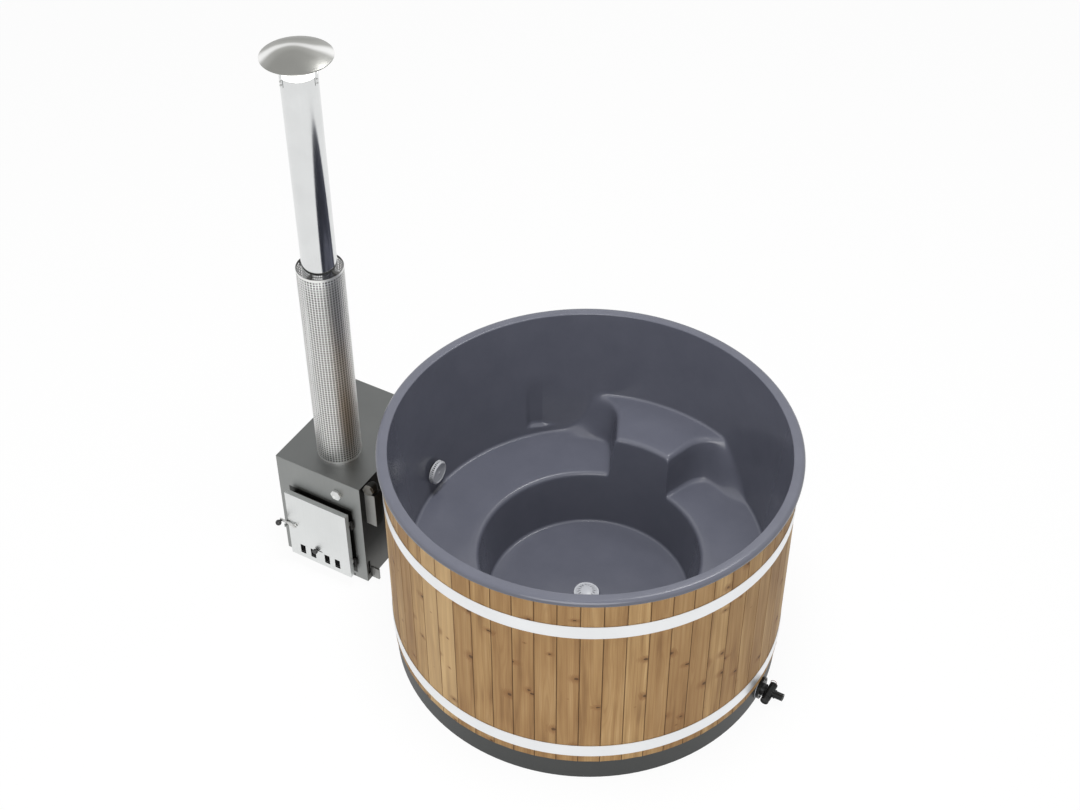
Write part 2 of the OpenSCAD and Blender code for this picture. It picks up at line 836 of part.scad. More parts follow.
// Domed cap with a ring of slots, standing just clear of the flange
module drain_strainer() {
    base_z = floor_z + 2 * seat + 3;
    ball = (strainer_r * strainer_r + strainer_h * strainer_h) / (2 * strainer_h);
    wall = 2.5;
    span = asin(strainer_r / ball);
    span_in = acos((ball - strainer_h) / (ball - wall));
    mid = [0, base_z + strainer_h - ball];
    color("silver") difference() {
        rotate_extrude() polygon(concat(arc(mid, ball, 90, 90 - span, 10),
            arc(mid, ball - wall, 90 - span_in, 90, 10)));
        for (i = [0 : 15])
            rotate([0, 0, i * 22.5 + 11])
                block([strainer_r * 0.55, -1.6, base_z - 5], [strainer_r * 0.82, 1.6, base_z + 30]);
    }
}

module drain_seal() {
    color("black") difference() {
        bar_z(floor_z - liner_t - seat - 2.4, floor_z - liner_t - seat, 0, 0, drain_r + 14);
        bar_z(0, floor_z, 0, 0, drain_r + seat);
    }
}

module drain_nut() {
    top = floor_z - liner_t - 2 * seat - 2.4;
    color("darkgray") translate([0, 0, top - 13]) difference() {
        hexagon(2 * drain_r + 18, 13);
        translate([0, 0, -eps]) cylinder(h = 15, r = drain_r + seat);
    }
}

module drain_pipe() {
    color("lightgray") difference() {
        bar_x(drain_r + 2 + seat, valve_pad_x, 0, drain_z, drain_bore_r);
        bar_x(0, far, 0, drain_z, drain_bore_r - 3);
    }
}

// ---------------------------------------------------------------- drain valve

module valve_washer() {
    x = valve_pad_x + seat;
    color("lightgray") difference() {
        bar_x(x, x + washer_t, 0, drain_z, valve_flange_r + 1);
        bar_x(x - eps, x + 5, 0, drain_z, drain_bore_r - 3);
    }
}

module valve_body() {
    tail_r = drain_bore_r - 3 - seat;
    color("black") difference() {
        union() {
            bar_x(valve_face_x - flange_t, valve_face_x, 0, drain_z, valve_flange_r);
            bar_x(valve_pad_x - 24, valve_face_x, 0, drain_z, tail_r);
            bar_x(valve_face_x - eps, valve_x - valve_knob_r - 1, 0, valve_z, valve_barrel_r + 8);
            bar_x(valve_face_x - eps, outlet_x, 0, valve_z, valve_barrel_r - 2.5);
            bar_y(barrel_front_y, barrel_back_y, valve_x, valve_z, valve_barrel_r);
        }
        bar_x(valve_pad_x - 30, outlet_x + eps, 0, valve_z, valve_bore_r);
        bar_y(barrel_front_y - eps, barrel_back_y + eps, valve_x, valve_z, plug_r + run_fit);
        at_valve_screws() cylinder(h = 2 * flange_t + 14, r = 2.6, center = true);
    }
}

// Places its children at the four flange screws, pointing out along +X
module at_valve_screws() {
    for (a = [45 : 90 : 315])
        translate([valve_face_x, 0, drain_z]) rotate([a, 0, 0]) translate([0, valve_flange_r - 10, 0])
            rotate([0, 90, 0]) children();
}

module valve_screws() {
    color("silver") at_valve_screws() {
        translate([0, 0, seat]) cylinder(h = 2.6, r1 = 4.6, r2 = 3.4);
        translate([0, 0, -flange_t + 0.5]) cylinder(h = flange_t + seat, r = 2.2);
    }
}

// Turning plug: shut at rest, with its cross hole upright
module valve_plug() {
    color("dimgray") difference() {
        union() {
            bar_y(barrel_front_y + 2, barrel_back_y - 2, valve_x, valve_z, plug_r);
            bar_y(0, knob_end_y - 6, valve_x, valve_z, 5);
        }
        bar_z(valve_z - far / 10, valve_z + far / 10, valve_x, 0, valve_bore_r - 1);
    }
}

module valve_knob() {
    grips = 12;
    color("black") difference() {
        bar_y(knob_front_y, knob_end_y, valve_x, valve_z, valve_knob_r);
        bar_y(knob_front_y - eps, knob_end_y - 6 + seat, valve_x, valve_z, 5 + run_fit);
        for (i = [0 : grips - 1])
            translate([valve_x, 0, valve_z]) rotate([0, i * 360 / grips, 0])
                bar_y(knob_front_y + 6, knob_end_y + eps, valve_knob_r + 0.8, 0, 2);
    }
}

// Wire loop that stands up on the knob
module valve_loop() {
    loop_y = knob_end_y - 6;
    color("rosybrown") difference() {
        translate([valve_x, loop_y, valve_z + valve_knob_r + 4]) rotate([90, 0, 0])
            rotate_extrude() translate([12.5, 0]) circle(r = 1.1);
        bar_y(0, far, valve_x, valve_z, valve_knob_r + run_fit);
    }
}

module valve_end_cap() {
    color("dimgray") difference() {
        union() {
            bar_y(cap_end_y, barrel_front_y - seat, valve_x, valve_z, valve_barrel_r - 1);
            bar_y(barrel_front_y - eps, barrel_front_y + 1.5, valve_x, valve_z, plug_r - seat);
        }
        bar_y(cap_end_y - eps, cap_end_y + 3, valve_x, valve_z, valve_barrel_r - 5);
    }
}

// Hose tail with two barbs
module valve_spigot() {
    x0 = outlet_x + seat;
    color("black") difference() {
        union() {
            bar_x(x0, spigot_end_x, 0, valve_z, spigot_r);
            bar_x(x0, x0 + 6, 0, valve_z, spigot_r + 3);
        }
        bar_x(x0 - eps, spigot_end_x + eps, 0, valve_z, valve_bore_r);
    }
}

// ---------------------------------------------------------------- stove casing

module casing() {
    top = cas_z1 - casing_t - seat;
    color("darkgray") difference() {
        block([cas_x0, cas_y0, cas_z0], [cas_x1, cas_y1, top]);
        block([cas_x0 + casing_t, cas_y0 + casing_t, cas_z0 + casing_t],
            [cas_x1 - casing_t, cas_y1 - casing_t, top + eps]);
        block([mouth_x0 - frame_t - 1, cas_y0 - eps, mouth_z0 - frame_t - 1],
            [mouth_x1 + frame_t + 1, cas_y0 + 5, mouth_z1 + frame_t + 1]);
        bar_y(cas_y0 - eps, cas_y0 + 5, cas_x1 - front_plug_in, front_plug_z, elbow_bore_r + 5);
        for (z = [upper_pipe_z, lower_pipe_z])
            bar_x(cas_x1 - 5, cas_x1 + eps, pipe_y, z, pipe_r + 2);
        bar_x(cas_x1 - 5, cas_x1 + eps, duct_y + riser_d / 2, port_z, port_r + 1);
        block([cas_x1 - 5, cas_y0 + 9, cas_z0 + 37], [cas_x1 + eps, cas_y0 + 28, cas_z0 + 113]);
    }
}

module casing_top() {
    color("gray") difference() {
        block([cas_x0, cas_y0, cas_z1 - casing_t], [cas_x1, cas_y1, cas_z1]);
        bar_z(cas_z0, cas_z1 + eps, flue_x, flue_y, neck_r + 1);
    }
}

module heater_feet() {
    inset = 45;
    color("black") for (x = [cas_x0 + inset, cas_x1 - inset], y = [cas_y0 + inset, cas_y1 - inset]) {
        bar_z(0, 12, x, y, 22);
        bar_z(11, foot_h - seat, x, y, 12);
    }
}

// Double-walled water jacket round the firebox, with its necks and pipe stubs
module water_jacket() {
    t = jacket_t;
    color("lightgray") difference() {
        union() {
            block([jac_x0, jac_y0, jac_z0], [jac_x1, jac_y1, jac_z1]);
            block([mouth_x0 - frame_t, frame_y, mouth_z0 - frame_t],
                [mouth_x1 + frame_t, jac_y0 + eps, mouth_z1 + frame_t]);
            bar_z(jac_z1 - eps, flue_z0 + neck_up, flue_x, flue_y, neck_r);
            for (z = [upper_pipe_z, lower_pipe_z])
                bar_x(jac_x1 - eps, stub_x, pipe_y, z, pipe_r);
            bar_y(cas_y0 + seat, jac_y0 + eps, cas_x1 - front_plug_in, front_plug_z,
                elbow_bore_r + 4);
            for (x = [fire_x0 - t, fire_x1 - ledge])
                block([x, fire_y0 + 20, grate_z - 9], [x + ledge + t, fire_y1 - 20, grate_z - 1]);
            for (x = [jac_x0 + 30, jac_x1 - 70], y = [jac_y0 + 30, jac_y1 - 70])
                block([x, y, cas_z0 + casing_t + seat], [x + 40, y + 40, jac_z0 + eps]);
        }
        difference() {
            block([jac_x0 + t, jac_y0 + t, jac_z0 + t], [jac_x1 - t, jac_y1 - t, jac_z1 - t]);
            block([fire_x0 - t, jac_y0, fire_z0 - t], [fire_x1 + t, fire_y1 + t, firebox_top_z + t]);
            bar_z(firebox_top_z, jac_z1, flue_x, flue_y, neck_r);
            bar_x(jac_x0, jac_x0 + eps, pipe_y, upper_pipe_z, 1);
        }
        difference() {
            block([fire_x0, fire_y0, fire_z0], [fire_x1, fire_y1, firebox_top_z]);
            for (x = [fire_x0 - eps, fire_x1 - ledge])
                block([x, fire_y0 + 20, grate_z - 9], [x + ledge + eps, fire_y1 - 20, grate_z - 1]);
        }
        block([mouth_x0, frame_y - eps, mouth_z0], [mouth_x1, fire_y0 + eps, mouth_z1]);
        bar_z(firebox_top_z - eps, flue_z0 + neck_up + eps, flue_x, flue_y, neck_r - neck_t);
        for (z = [upper_pipe_z, lower_pipe_z])
            bar_x(jac_x1 - t - eps, stub_x + eps, pipe_y, z, pipe_bore_r);
        bar_y(cas_y0 - eps, jac_y0 + t + eps, cas_x1 - front_plug_in, front_plug_z, elbow_bore_r);
        bar_x(jac_x1 - t - eps, jac_x1 + eps, duct_y + riser_d / 2, port_z, port_r - 3);
    }
}

// Cast fire grate: a frame with long bars
module fire_grate() {
    x0 = fire_x0 + 3;
    x1 = fire_x1 - 3;
    y0 = fire_y0 + 24;
    y1 = fire_y1 - 24;
    bars = 11;
    pitch = (x1 - x0 - 20) / bars;
    z0 = grate_z - 1 + seat;
    color("dimgray") difference() {
        block([x0, y0, z0], [x1, y1, z0 + grate_t]);
        for (i = [0 : bars - 1], part = [0, 1])
            translate([x0 + 10 + pitch * (i + 0.25), y0 + 20 + part * (y1 - y0 - 20) / 2, z0 - eps])
                cube([pitch / 2, (y1 - y0 - 60) / 2, grate_t + 2 * eps]);
    }
}

// ---------------------------------------------------------------- plugs and ducts

// Hexagon plug facing -Y, its face against the socket end at y
module hex_plug(x, y, z) {
    color("lightgray") translate([x, y - seat, z]) rotate([90, 0, 0]) difference() {
        union() {
            hexagon(plug_af, plug_head);
            translate([0, 0, -14]) cylinder(h = 15, r = elbow_bore_r - seat);
        }
        translate([0, 0, plug_head - 2]) cylinder(h = 3, r = plug_af / 2 - 7);
    }
}

module front_plug() {
    hex_plug(cas_x1 - front_plug_in, cas_y0, front_plug_z);
}

module side_plug() {
    hex_plug(elbow_x, duct_y, elbow_z);
}

// Upright water duct on the side of the stove, with an elbow on top
module riser_duct() {
    t = riser_t;
    mid_y = duct_y + riser_d / 2;
    color("darkgray") difference() {
        union() {
            block([cas_x1 + seat, duct_y, riser_z0], [cas_x1 + riser_w, duct_y + riser_d, riser_z1]);
            bar_z(riser_z1 - eps, elbow_z, elbow_x, mid_y, elbow_r);
            translate([elbow_x, mid_y, elbow_z]) sphere(r = elbow_r);
            bar_y(duct_y, mid_y, elbow_x, elbow_z, elbow_r);
            bar_x(jac_x1 + seat, cas_x1 + t, mid_y, port_z, port_r);
        }
        block([cas_x1 + seat + t, duct_y + t, riser_z0 + t],
            [cas_x1 + riser_w - t, duct_y + riser_d - t, riser_z1 - t]);
        bar_z(riser_z1 - t - eps, elbow_z, elbow_x, mid_y, elbow_bore_r);
        bar_y(duct_y - eps, mid_y + elbow_bore_r, elbow_x, elbow_z, elbow_bore_r);
        bar_x(jac_x1, cas_x1 + seat + t + eps, mid_y, port_z, port_r - 3);
    }
}

// Folded lug at the foot of the stove's side, open behind and below
module side_lug() {
    t = riser_t;
    z0 = cas_z0 + 2;
    color("darkgray") difference() {
        block([cas_x1 + seat, duct_y, z0], [cas_x1 + lug_w, duct_y + lug_d, z0 + lug_h]);
        block([cas_x1 + seat + t, duct_y + t, z0 - eps],
            [cas_x1 + lug_w - t, duct_y + lug_d + eps, z0 + lug_h - t]);
    }
}

// ---------------------------------------------------------------- chimney

module flue_pipe() {
    color("gainsboro") difference() {
        bar_z(flue_z0, flue_z1, flue_x, flue_y, flue_r);
        bar_z(flue_z0 - eps, flue_z1 + eps, flue_x, flue_y, flue_r - flue_t);
    }
}

// Guard tube, plain here, standing on the casing top
module flue_guard() {
    color("silver") difference() {
        bar_z(flue_z0, guard_z1, flue_x, flue_y, guard_r);
        bar_z(flue_z0 - eps, guard_z1 + eps, flue_x, flue_y, guard_r - guard_t);
    }
}

// Bent clips that hold the guard off the flue pipe, four near each end
module guard_clips() {
    r0 = flue_r + seat;
    r1 = guard_r - guard_t - seat;
    clip_w = 14;
    clip_h = 22;
    t = 1.5;
    color("silver") for (z = [flue_z0 + 40, guard_z1 - clip_h - 6], a = [-88 : 90 : 182])
        translate([flue_x, flue_y, z]) rotate([0, 0, a]) difference() {
            intersection() {
                block([r0 - 5, -clip_w / 2, 0], [r1 + 5, clip_w / 2, clip_h]);
                cylinder(h = clip_h, r = r1);
            }
            translate([0, 0, -eps]) cylinder(h = clip_h + 2 * eps, r = r0);
            block([r0 + t, -clip_w, -eps], [r1 - t - 1, clip_w, clip_h - t]);
        }
}

// Shallow dome over the flue pipe
module rain_cap() {
    span = asin(cap_r / cap_ball_r);
    span_in = acos((cap_ball_r - cap_h) / (cap_ball_r - cap_t));
    mid = [0, cap_z + cap_h - cap_ball_r];
    color("silver") translate([flue_x, flue_y, 0]) rotate_extrude()
        polygon(concat(arc(mid, cap_ball_r, 90, 90 - span, 14),
            arc(mid, cap_ball_r - cap_t, 90 - span_in, 90, 14)));
}

// Three flat legs on the outside of the flue pipe, bent out under the cap
module cap_legs() {
    r0 = flue_r + seat;
    tab_z = cap_top(r0 + leg_out) - cap_t - 2 * seat;
    color("gainsboro") for (a = leg_angles) translate([flue_x, flue_y, 0]) rotate([0, 0, a]) {
        block([r0, -leg_w / 2, flue_z1 - leg_down], [r0 + leg_t, leg_w / 2, tab_z]);
        block([r0, -leg_w / 2, tab_z - leg_t], [r0 + leg_out, leg_w / 2, tab_z]);
    }
}

module cap_screws() {
    r0 = flue_r + seat + leg_t + seat;
    color("darkgray") for (a = leg_angles, down = [9, 24])
        translate([flue_x, flue_y, flue_z1 - down]) rotate([0, 0, a])
            bar_x(r0, r0 + 5, 0, 0, 3.6);
}

// ---------------------------------------------------------------- stove door

// Folded door pan with its rails, and the moving halves of the hinges
module door_panel() {
    back = door_back_y;
    color("whitesmoke") difference() {
        union() {
            difference() {
                block([door_x0, door_face_y, door_z], [door_x1, back, door_z1]);
                block([door_x0 + door_t, door_in_y, door_z + door_t],
                    [door_x1 - door_t, back + eps, door_z1 - door_t]);
            }
            door_rail(slide_z1 + seat, 1);
            door_rail(slide_z0 - seat, -1);
            for (z = hinge_zs) {
                block([door_x1 - door_t, back - 4, z + knuckle_l + seat],
                    [door_x1 + 0.5, hinge_y + 1.5, z + 2 * knuckle_l]);
                block([door_x1 - door_t, hinge_y - 1.5, z + knuckle_l + seat],
                    [hinge_x, hinge_y + 1.5, z + 2 * knuckle_l]);
                bar_z(z + knuckle_l + seat, z + 2 * knuckle_l, hinge_x, hinge_y, knuckle_r);
            }
        }
        for (z = hinge_zs)
            bar_z(z, z + 3 * knuckle_l, hinge_x, hinge_y, hinge_pin_r + run_fit);
        for (x = vent_xs)
            block([x, door_face_y - eps, vent_z], [x + vent_w, door_in_y + 1.5, vent_z + vent_h]);
        block([damper_x - shaft_r - 1, door_face_y - eps, damper_knob_z - shaft_r - 0.4],
            [damper_x + damper_travel + shaft_r + 1, door_in_y + eps, damper_knob_z + shaft_r + 0.4]);
        bar_y(door_face_y - eps, door_in_y + eps, latch_x, latch_z, latch_bolt_r + seat);
    }
}

// Rail that keeps the damper slide against the pan; side is +1 above it and -1 below it
module door_rail(z, side) {
    lip_y = slide_y + slide_t + seat;
    x0 = slide_x0 - 6;
    x1 = slide_x1 + damper_travel + 4;
    z_far = z + side * rail_t;
    block([x0, door_in_y - 0.5, min(z, z_far)], [x1, lip_y + 2, max(z, z_far)]);
    block([x0, lip_y, min(z - side * 4, z_far)], [x1, lip_y + 2, max(z - side * 4, z_far)]);
}

// Inner plate that carries the gasket, held off the pan by four studs
module door_inner_plate() {
    color("gray") difference() {
        union() {
            block([mouth_x0 - frame_t - plate_lip, plate_y - plate_t, mouth_z0 - frame_t - plate_lip],
                [mouth_x1 + frame_t + plate_lip, plate_y, mouth_z1 + frame_t + plate_lip]);
            for (x = stud_xs, z = stud_zs)
                bar_y(door_in_y + seat, plate_y - plate_t + eps, x, z, stud_r);
        }
        for (x = vent_xs)
            block([x, plate_y - plate_t - eps, vent_z + 6], [x + vent_w, plate_y + eps, vent_z + vent_h]);
    }
}

module door_insulation() {
    color("khaki") difference() {
        block([door_x0 + 8, door_in_y + seat, slide_z1 + 8],
            [door_x1 - 8, plate_y - plate_t - seat, door_z1 - 8]);
        for (x = stud_xs, z = stud_zs)
            bar_y(door_in_y, plate_y, x, z, stud_r + seat);
        bar_y(door_in_y, door_in_y + 7, latch_x, latch_z, latch_bolt_r + 6);
    }
}

module door_gasket() {
    grip = frame_t - 1;
    color("ivory") difference() {
        block([mouth_x0 - grip, plate_y + seat, mouth_z0 - grip],
            [mouth_x1 + grip, gasket_y, mouth_z1 + grip]);
        block([mouth_x0, plate_y, mouth_z0], [mouth_x1, gasket_y + eps, mouth_z1]);
    }
}

// Fixed halves of the hinges, on the casing front
module hinge_brackets() {
    color("silver") for (z = hinge_zs) difference() {
        union() {
            bar_z(z, z + knuckle_l, hinge_x, hinge_y, knuckle_r);
            block([hinge_x - 3.5, hinge_y, z], [hinge_x + 3.5, cas_y0 - run_fit, z + knuckle_l]);
        }
        bar_z(z - eps, z + knuckle_l + eps, hinge_x, hinge_y, hinge_pin_r + run_fit);
    }
}

module hinge_pins() {
    color("dimgray") for (z = hinge_zs) {
        bar_z(z - 3, z - seat, hinge_x, hinge_y, hinge_pin_r + 1.5);
        bar_z(z - seat - eps, z + 2 * knuckle_l - 1, hinge_x, hinge_y, hinge_pin_r);
    }
}

// ---------------------------------------------------------------- air damper

// Slide with four windows behind the vents, open at rest
module damper_slide() {
    color("gray") difference() {
        block([slide_x0, slide_y, slide_z0], [slide_x1, slide_y + slide_t, slide_z1]);
        for (x = vent_xs)
            block([x, slide_y - eps, vent_z], [x + vent_w, slide_y + 5, vent_z + vent_h]);
        bar_y(slide_y - eps, slide_y + 5, damper_x, damper_knob_z, shaft_r + run_fit);
    }
}

module damper_knob() {
    y1 = door_face_y - 6;
    color("black") {
        bar_y(y1 - 12, y1, damper_x, damper_knob_z, damper_knob_r);
        bar_y(y1 - eps, slide_y + slide_t, damper_x, damper_knob_z, shaft_r);
        bar_y(y1 - eps, door_face_y - 1, damper_x, damper_knob_z, shaft_r + 2.5);
    }
}

// ---------------------------------------------------------------- door latch

module latch_bolt() {
    y_head = latch_y - seat;
    color("silver") {
        translate([latch_x, y_head, latch_z]) rotate([90, 0, 0]) hexagon(13, 4);
        bar_y(y_head - eps, door_in_y + 5, latch_x, latch_z, latch_bolt_r);
        bar_y(latch_y + latch_bar_t + seat, door_face_y - seat, latch_x, latch_z, latch_bolt_r + 3);
    }
}

// Lever that reaches past the door's left edge, parked just above its catch
module latch_lever() {
    color("lightgray") translate([latch_x, latch_y, latch_z]) rotate([0, latch_park, 0]) difference() {
        union() {
            block([-latch_l, 0, -latch_bar_h / 2], [0, latch_bar_t, latch_bar_h / 2]);
            bar_y(0, latch_bar_t, 0, 0, latch_hub_r);
        }
        bar_y(-eps, latch_bar_t + eps, 0, 0, latch_bolt_r + run_fit);
    }
}

// Neck and ball knob at the end of the lever
module latch_knob() {
    color("black") translate([latch_x, latch_y, latch_z]) rotate([0, latch_park, 0])
        translate([-latch_l + latch_bar_h / 2, 0, 0]) {
            bar_y(-14, -run_fit, 0, 0, 6);
            translate([0, -19, 0]) sphere(r = ball_r);
        }
}

// Hook on the casing that the lever drops into
module latch_catch() {
    slot_front = latch_y - 1.5;
    slot_back = latch_y + latch_bar_t + 1.5;
    z0 = catch_floor_z - 12;
    color("silver") {
        block([catch_x, slot_front - 5, z0], [catch_x + catch_t, cas_y0 - run_fit, catch_floor_z]);
        block([catch_x, slot_front - 5, catch_floor_z - eps],
            [catch_x + catch_t, slot_front, catch_lip_z]);
        block([catch_x, slot_back, catch_floor_z - eps],
            [catch_x + catch_t, cas_y0 - run_fit, catch_lip_z + 10]);
        block([catch_x - 12, cas_y0 - 3, z0], [catch_x + eps, cas_y0 - run_fit, catch_lip_z + 10]);
    }
}

liner();
staves();
upper_hoop();
lower_hoop();
hoop_bolts();
hoop_nuts();
base_tray();
floor_foam();
bench_posts();
step_posts();
upper_grille();
lower_grille();
upper_fitting();
lower_fitting();
fitting_nuts();
return_pipe();
drain_strainer();
drain_body();
drain_nut();
drain_seal();
drain_pipe();
valve_washer();
valve_body();
valve_screws();
valve_plug();
valve_knob();
valve_loop();
valve_end_cap();
valve_spigot();
casing();
casing_top();
heater_feet();
water_jacket();
fire_grate();
front_plug();
riser_duct();
side_plug();
side_lug();
upper_hose();
lower_hose();
hose_clamps();
flue_pipe();
flue_guard();
guard_clips();
rain_cap();
cap_legs();
cap_screws();
door_panel();
door_inner_plate();
door_insulation();
door_gasket();
hinge_brackets();
hinge_pins();
damper_slide();
damper_knob();
latch_bolt();
latch_lever();
latch_knob();
latch_catch();
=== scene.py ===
"""Looks of a wood-fired hot tub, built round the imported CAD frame. Lengths are in metres."""

import json
import math

import bmesh
import bpy
from mathutils import Matrix, Vector


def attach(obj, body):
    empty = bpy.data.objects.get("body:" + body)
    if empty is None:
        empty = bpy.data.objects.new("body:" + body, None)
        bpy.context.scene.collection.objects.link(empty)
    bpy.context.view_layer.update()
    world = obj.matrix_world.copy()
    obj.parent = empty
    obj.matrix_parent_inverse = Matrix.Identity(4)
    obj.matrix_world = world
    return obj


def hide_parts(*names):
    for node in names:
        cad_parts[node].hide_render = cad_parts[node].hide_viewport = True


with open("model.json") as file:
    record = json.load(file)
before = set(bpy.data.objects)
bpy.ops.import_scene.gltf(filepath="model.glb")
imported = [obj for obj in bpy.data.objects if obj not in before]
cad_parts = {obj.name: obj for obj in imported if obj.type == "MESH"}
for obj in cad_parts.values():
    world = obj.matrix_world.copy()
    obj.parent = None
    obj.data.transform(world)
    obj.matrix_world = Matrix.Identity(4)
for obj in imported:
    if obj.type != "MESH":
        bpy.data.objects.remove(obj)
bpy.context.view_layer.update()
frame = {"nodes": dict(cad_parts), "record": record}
NODES = frame["nodes"]
BODY_OF = {
    node: body for body, members in frame["record"]["behaviour"]["bodies"].items() for node in members
}
SLOT_OF = {part["node"]: part["material_slot"] for part in frame["record"]["subparts"]}

# Sizes shared with the frame; the door's middle and half size are (x, z)
RIM_R = 0.84975
RIM_Z = 1.078
LIP_Z = 1.0557
RIM_ROUND = 0.016
BASIN_LOW_R = 0.748
BENCH_Z = 0.452
STEP_Z = 0.648
WELL_TOP_R = 0.467
WELL_FLOOR_R = 0.435
FLOOR_Z = 0.187
WELL_X = 0.010
BOARD_COUNT = 60
BOARD_PHASE = math.radians(2.35)
BOARD_FACE_R = 0.8316
FLUE_X = -1.1592
FLUE_Y = -0.130
FLUE_R = 0.072
FLUE_LOW = 0.6013
FLUE_TOP = 2.4743
GUARD_R = 0.0965
GUARD_TOP = 1.5983
CAP_R = 0.1374
CAP_Z = 2.5463
CAP_H = 0.036
FRONT_Y = -0.3015
SIDE_X = -0.9410
CASING_TOP = 0.6010
# Depths over which the water jacket turns dark and sooty towards its front, partly as painted shade
JACKET_SOOT_AND_SHADE = (-0.278, -0.292)
DOOR_MIDDLE = (-1.15875, 0.254)
DOOR_HALF = (0.16025, 0.188)
DOOR_Y = -0.3465
DUCT_Y = -0.2690

# The mouth's crisp edge as photographed, with a wall thin enough to stay inside the boards
MOUTH_R = 0.803
MOUTH_ROUND = 0.006
LINER_WALL = 0.003


# ------------------------------------------------------------------ shader maths


class Wire:
    """A number that runs through a material, with the operators the materials use."""

    def __init__(self, nodes, socket):
        self.nodes = nodes
        self.socket = socket

    def math(self, operation, *others):
        return self.nodes.node("Math", {"operation": operation}, dict(enumerate((self, *others))))

    def __add__(self, other):
        return self.math("ADD", other)

    def __sub__(self, other):
        return self.math("SUBTRACT", other)

    def __mul__(self, other):
        return self.math("MULTIPLY", other)

    def __truediv__(self, other):
        return self.math("DIVIDE", other)

    def __rsub__(self, other):
        return (self * -1.0).math("ADD", other)

    __radd__ = __add__
    __rmul__ = __mul__

    def clamped(self):
        return self.math("MAXIMUM", 0.0).math("MINIMUM", 1.0)

    def rise(self, low, high):
        """0 below low and 1 above high, smooth in between; falls where low is above high."""
        return self.nodes.node(
            "MapRange",
            {"interpolation_type": "SMOOTHSTEP"},
            {"Value": self, "From Min": low, "From Max": high},
        )


class Nodes:
    """Adds nodes and links to one node tree."""

    def __init__(self, tree):
        self.tree = tree

    def feed(self, socket, value):
        if isinstance(value, Wire):
            self.tree.links.new(value.socket, socket)
        elif isinstance(value, tuple) and len(socket.default_value) == 4:
            socket.default_value = (*value, 1.0)
        else:
            socket.default_value = value

    def node(self, kind, settings=None, inputs=None, out=0):
        """Adds a node and gives the output asked for, or a list of them."""
        made = self.tree.nodes.new("ShaderNode" + kind)
        for key, value in (settings or {}).items():
            if key == "stops":
                ramp = made.color_ramp
                while len(ramp.elements) < len(value):
                    ramp.elements.new(0.5)
                for stop, (position, colour) in zip(ramp.elements, value):
                    stop.position = position
                    stop.color = (*colour, 1.0)
            else:
                setattr(made, key, value)
        for key, value in (inputs or {}).items():
            self.feed(made.inputs[key], value)
        if isinstance(out, list):
            return [Wire(self, made.outputs[key]) for key in out]
        return Wire(self, made.outputs[out])

    def background_rays(self):
        """1 for the rays that see the plain background: the camera's, mirrored ones and ones in glass."""
        seen, mirrored, through = self.node(
            "LightPath", out=["Is Camera Ray", "Is Glossy Ray", "Is Transmission Ray"]
        )
        return seen.math("MAXIMUM", mirrored).math("MAXIMUM", through)


class Finish(Nodes):
    """A node material under construction."""

    def __init__(self, name, **constants):
        self.material = bpy.data.materials.new(name)
        self.material.use_nodes = True
        super().__init__(self.material.node_tree)
        self.shader = self.tree.nodes["Principled BSDF"]
        self.place = self.node("TexCoord", out="Object")
        self.set(**constants)

    def split(self, vector):
        return self.node("SeparateXYZ", inputs={"Vector": vector}, out=[0, 1, 2])

    def join(self, x, y, z):
        return self.node("CombineXYZ", inputs={"X": x, "Y": y, "Z": z})

    def stretched(self, scale):
        return self.node("Mapping", inputs={"Vector": self.place, "Scale": scale})

    def brush(self, stretch):
        """Fine lines drawn out along one direction."""
        return self.noise(self.stretched(stretch), 1.0, 4.0, 0.65)

    def noise(self, vector, scale, detail=2.0, roughness=0.5, distortion=0.0):
        return self.node(
            "TexNoise",
            inputs={
                "Vector": vector,
                "Scale": scale,
                "Detail": detail,
                "Roughness": roughness,
                "Distortion": distortion,
            },
        )

    def ramp(self, value, *stops):
        return self.node("ValToRGB", {"stops": stops}, {"Fac": value})

    def mix(self, factor, a, b):
        return self.node("Mix", {"data_type": "RGBA"}, {0: factor, 6: a, 7: b}, out=2)

    def set(self, **values):
        for socket, value in values.items():
            self.feed(self.shader.inputs[socket.replace("_", " ")], value)
        return self

    def bump(self, height, distance, strength=1.0):
        return self.set(
            Normal=self.node(
                "Bump", inputs={"Height": height, "Distance": distance, "Strength": strength}
            )
        )


# ------------------------------------------------------------------ finishes

# Stretch of a brushed surface's lines: round the tub, and up a tube, the casing or the door
ROUND_BRUSH = (3.0, 3.0, 900.0)
UP_BRUSH = (500.0, 500.0, 3.0)
CASING_BRUSH = (220.0, 220.0, 4.0)
DOOR_BRUSH = (160.0, 160.0, 3.0)
BRUSH_DEPTH = 0.00003
# Wood: height of the cells that hold a knot, the share of cells without one, and two ring spacings
KNOT_CELL = 0.20
KNOT_RARITY = 0.46
RING_PITCH = 0.0052
BROAD_PITCH = 0.019
# Direction in plan, from the flue, across which the rain cap's painted highlight lies
CAP_PAINTED_SHEEN = math.radians(309.0)


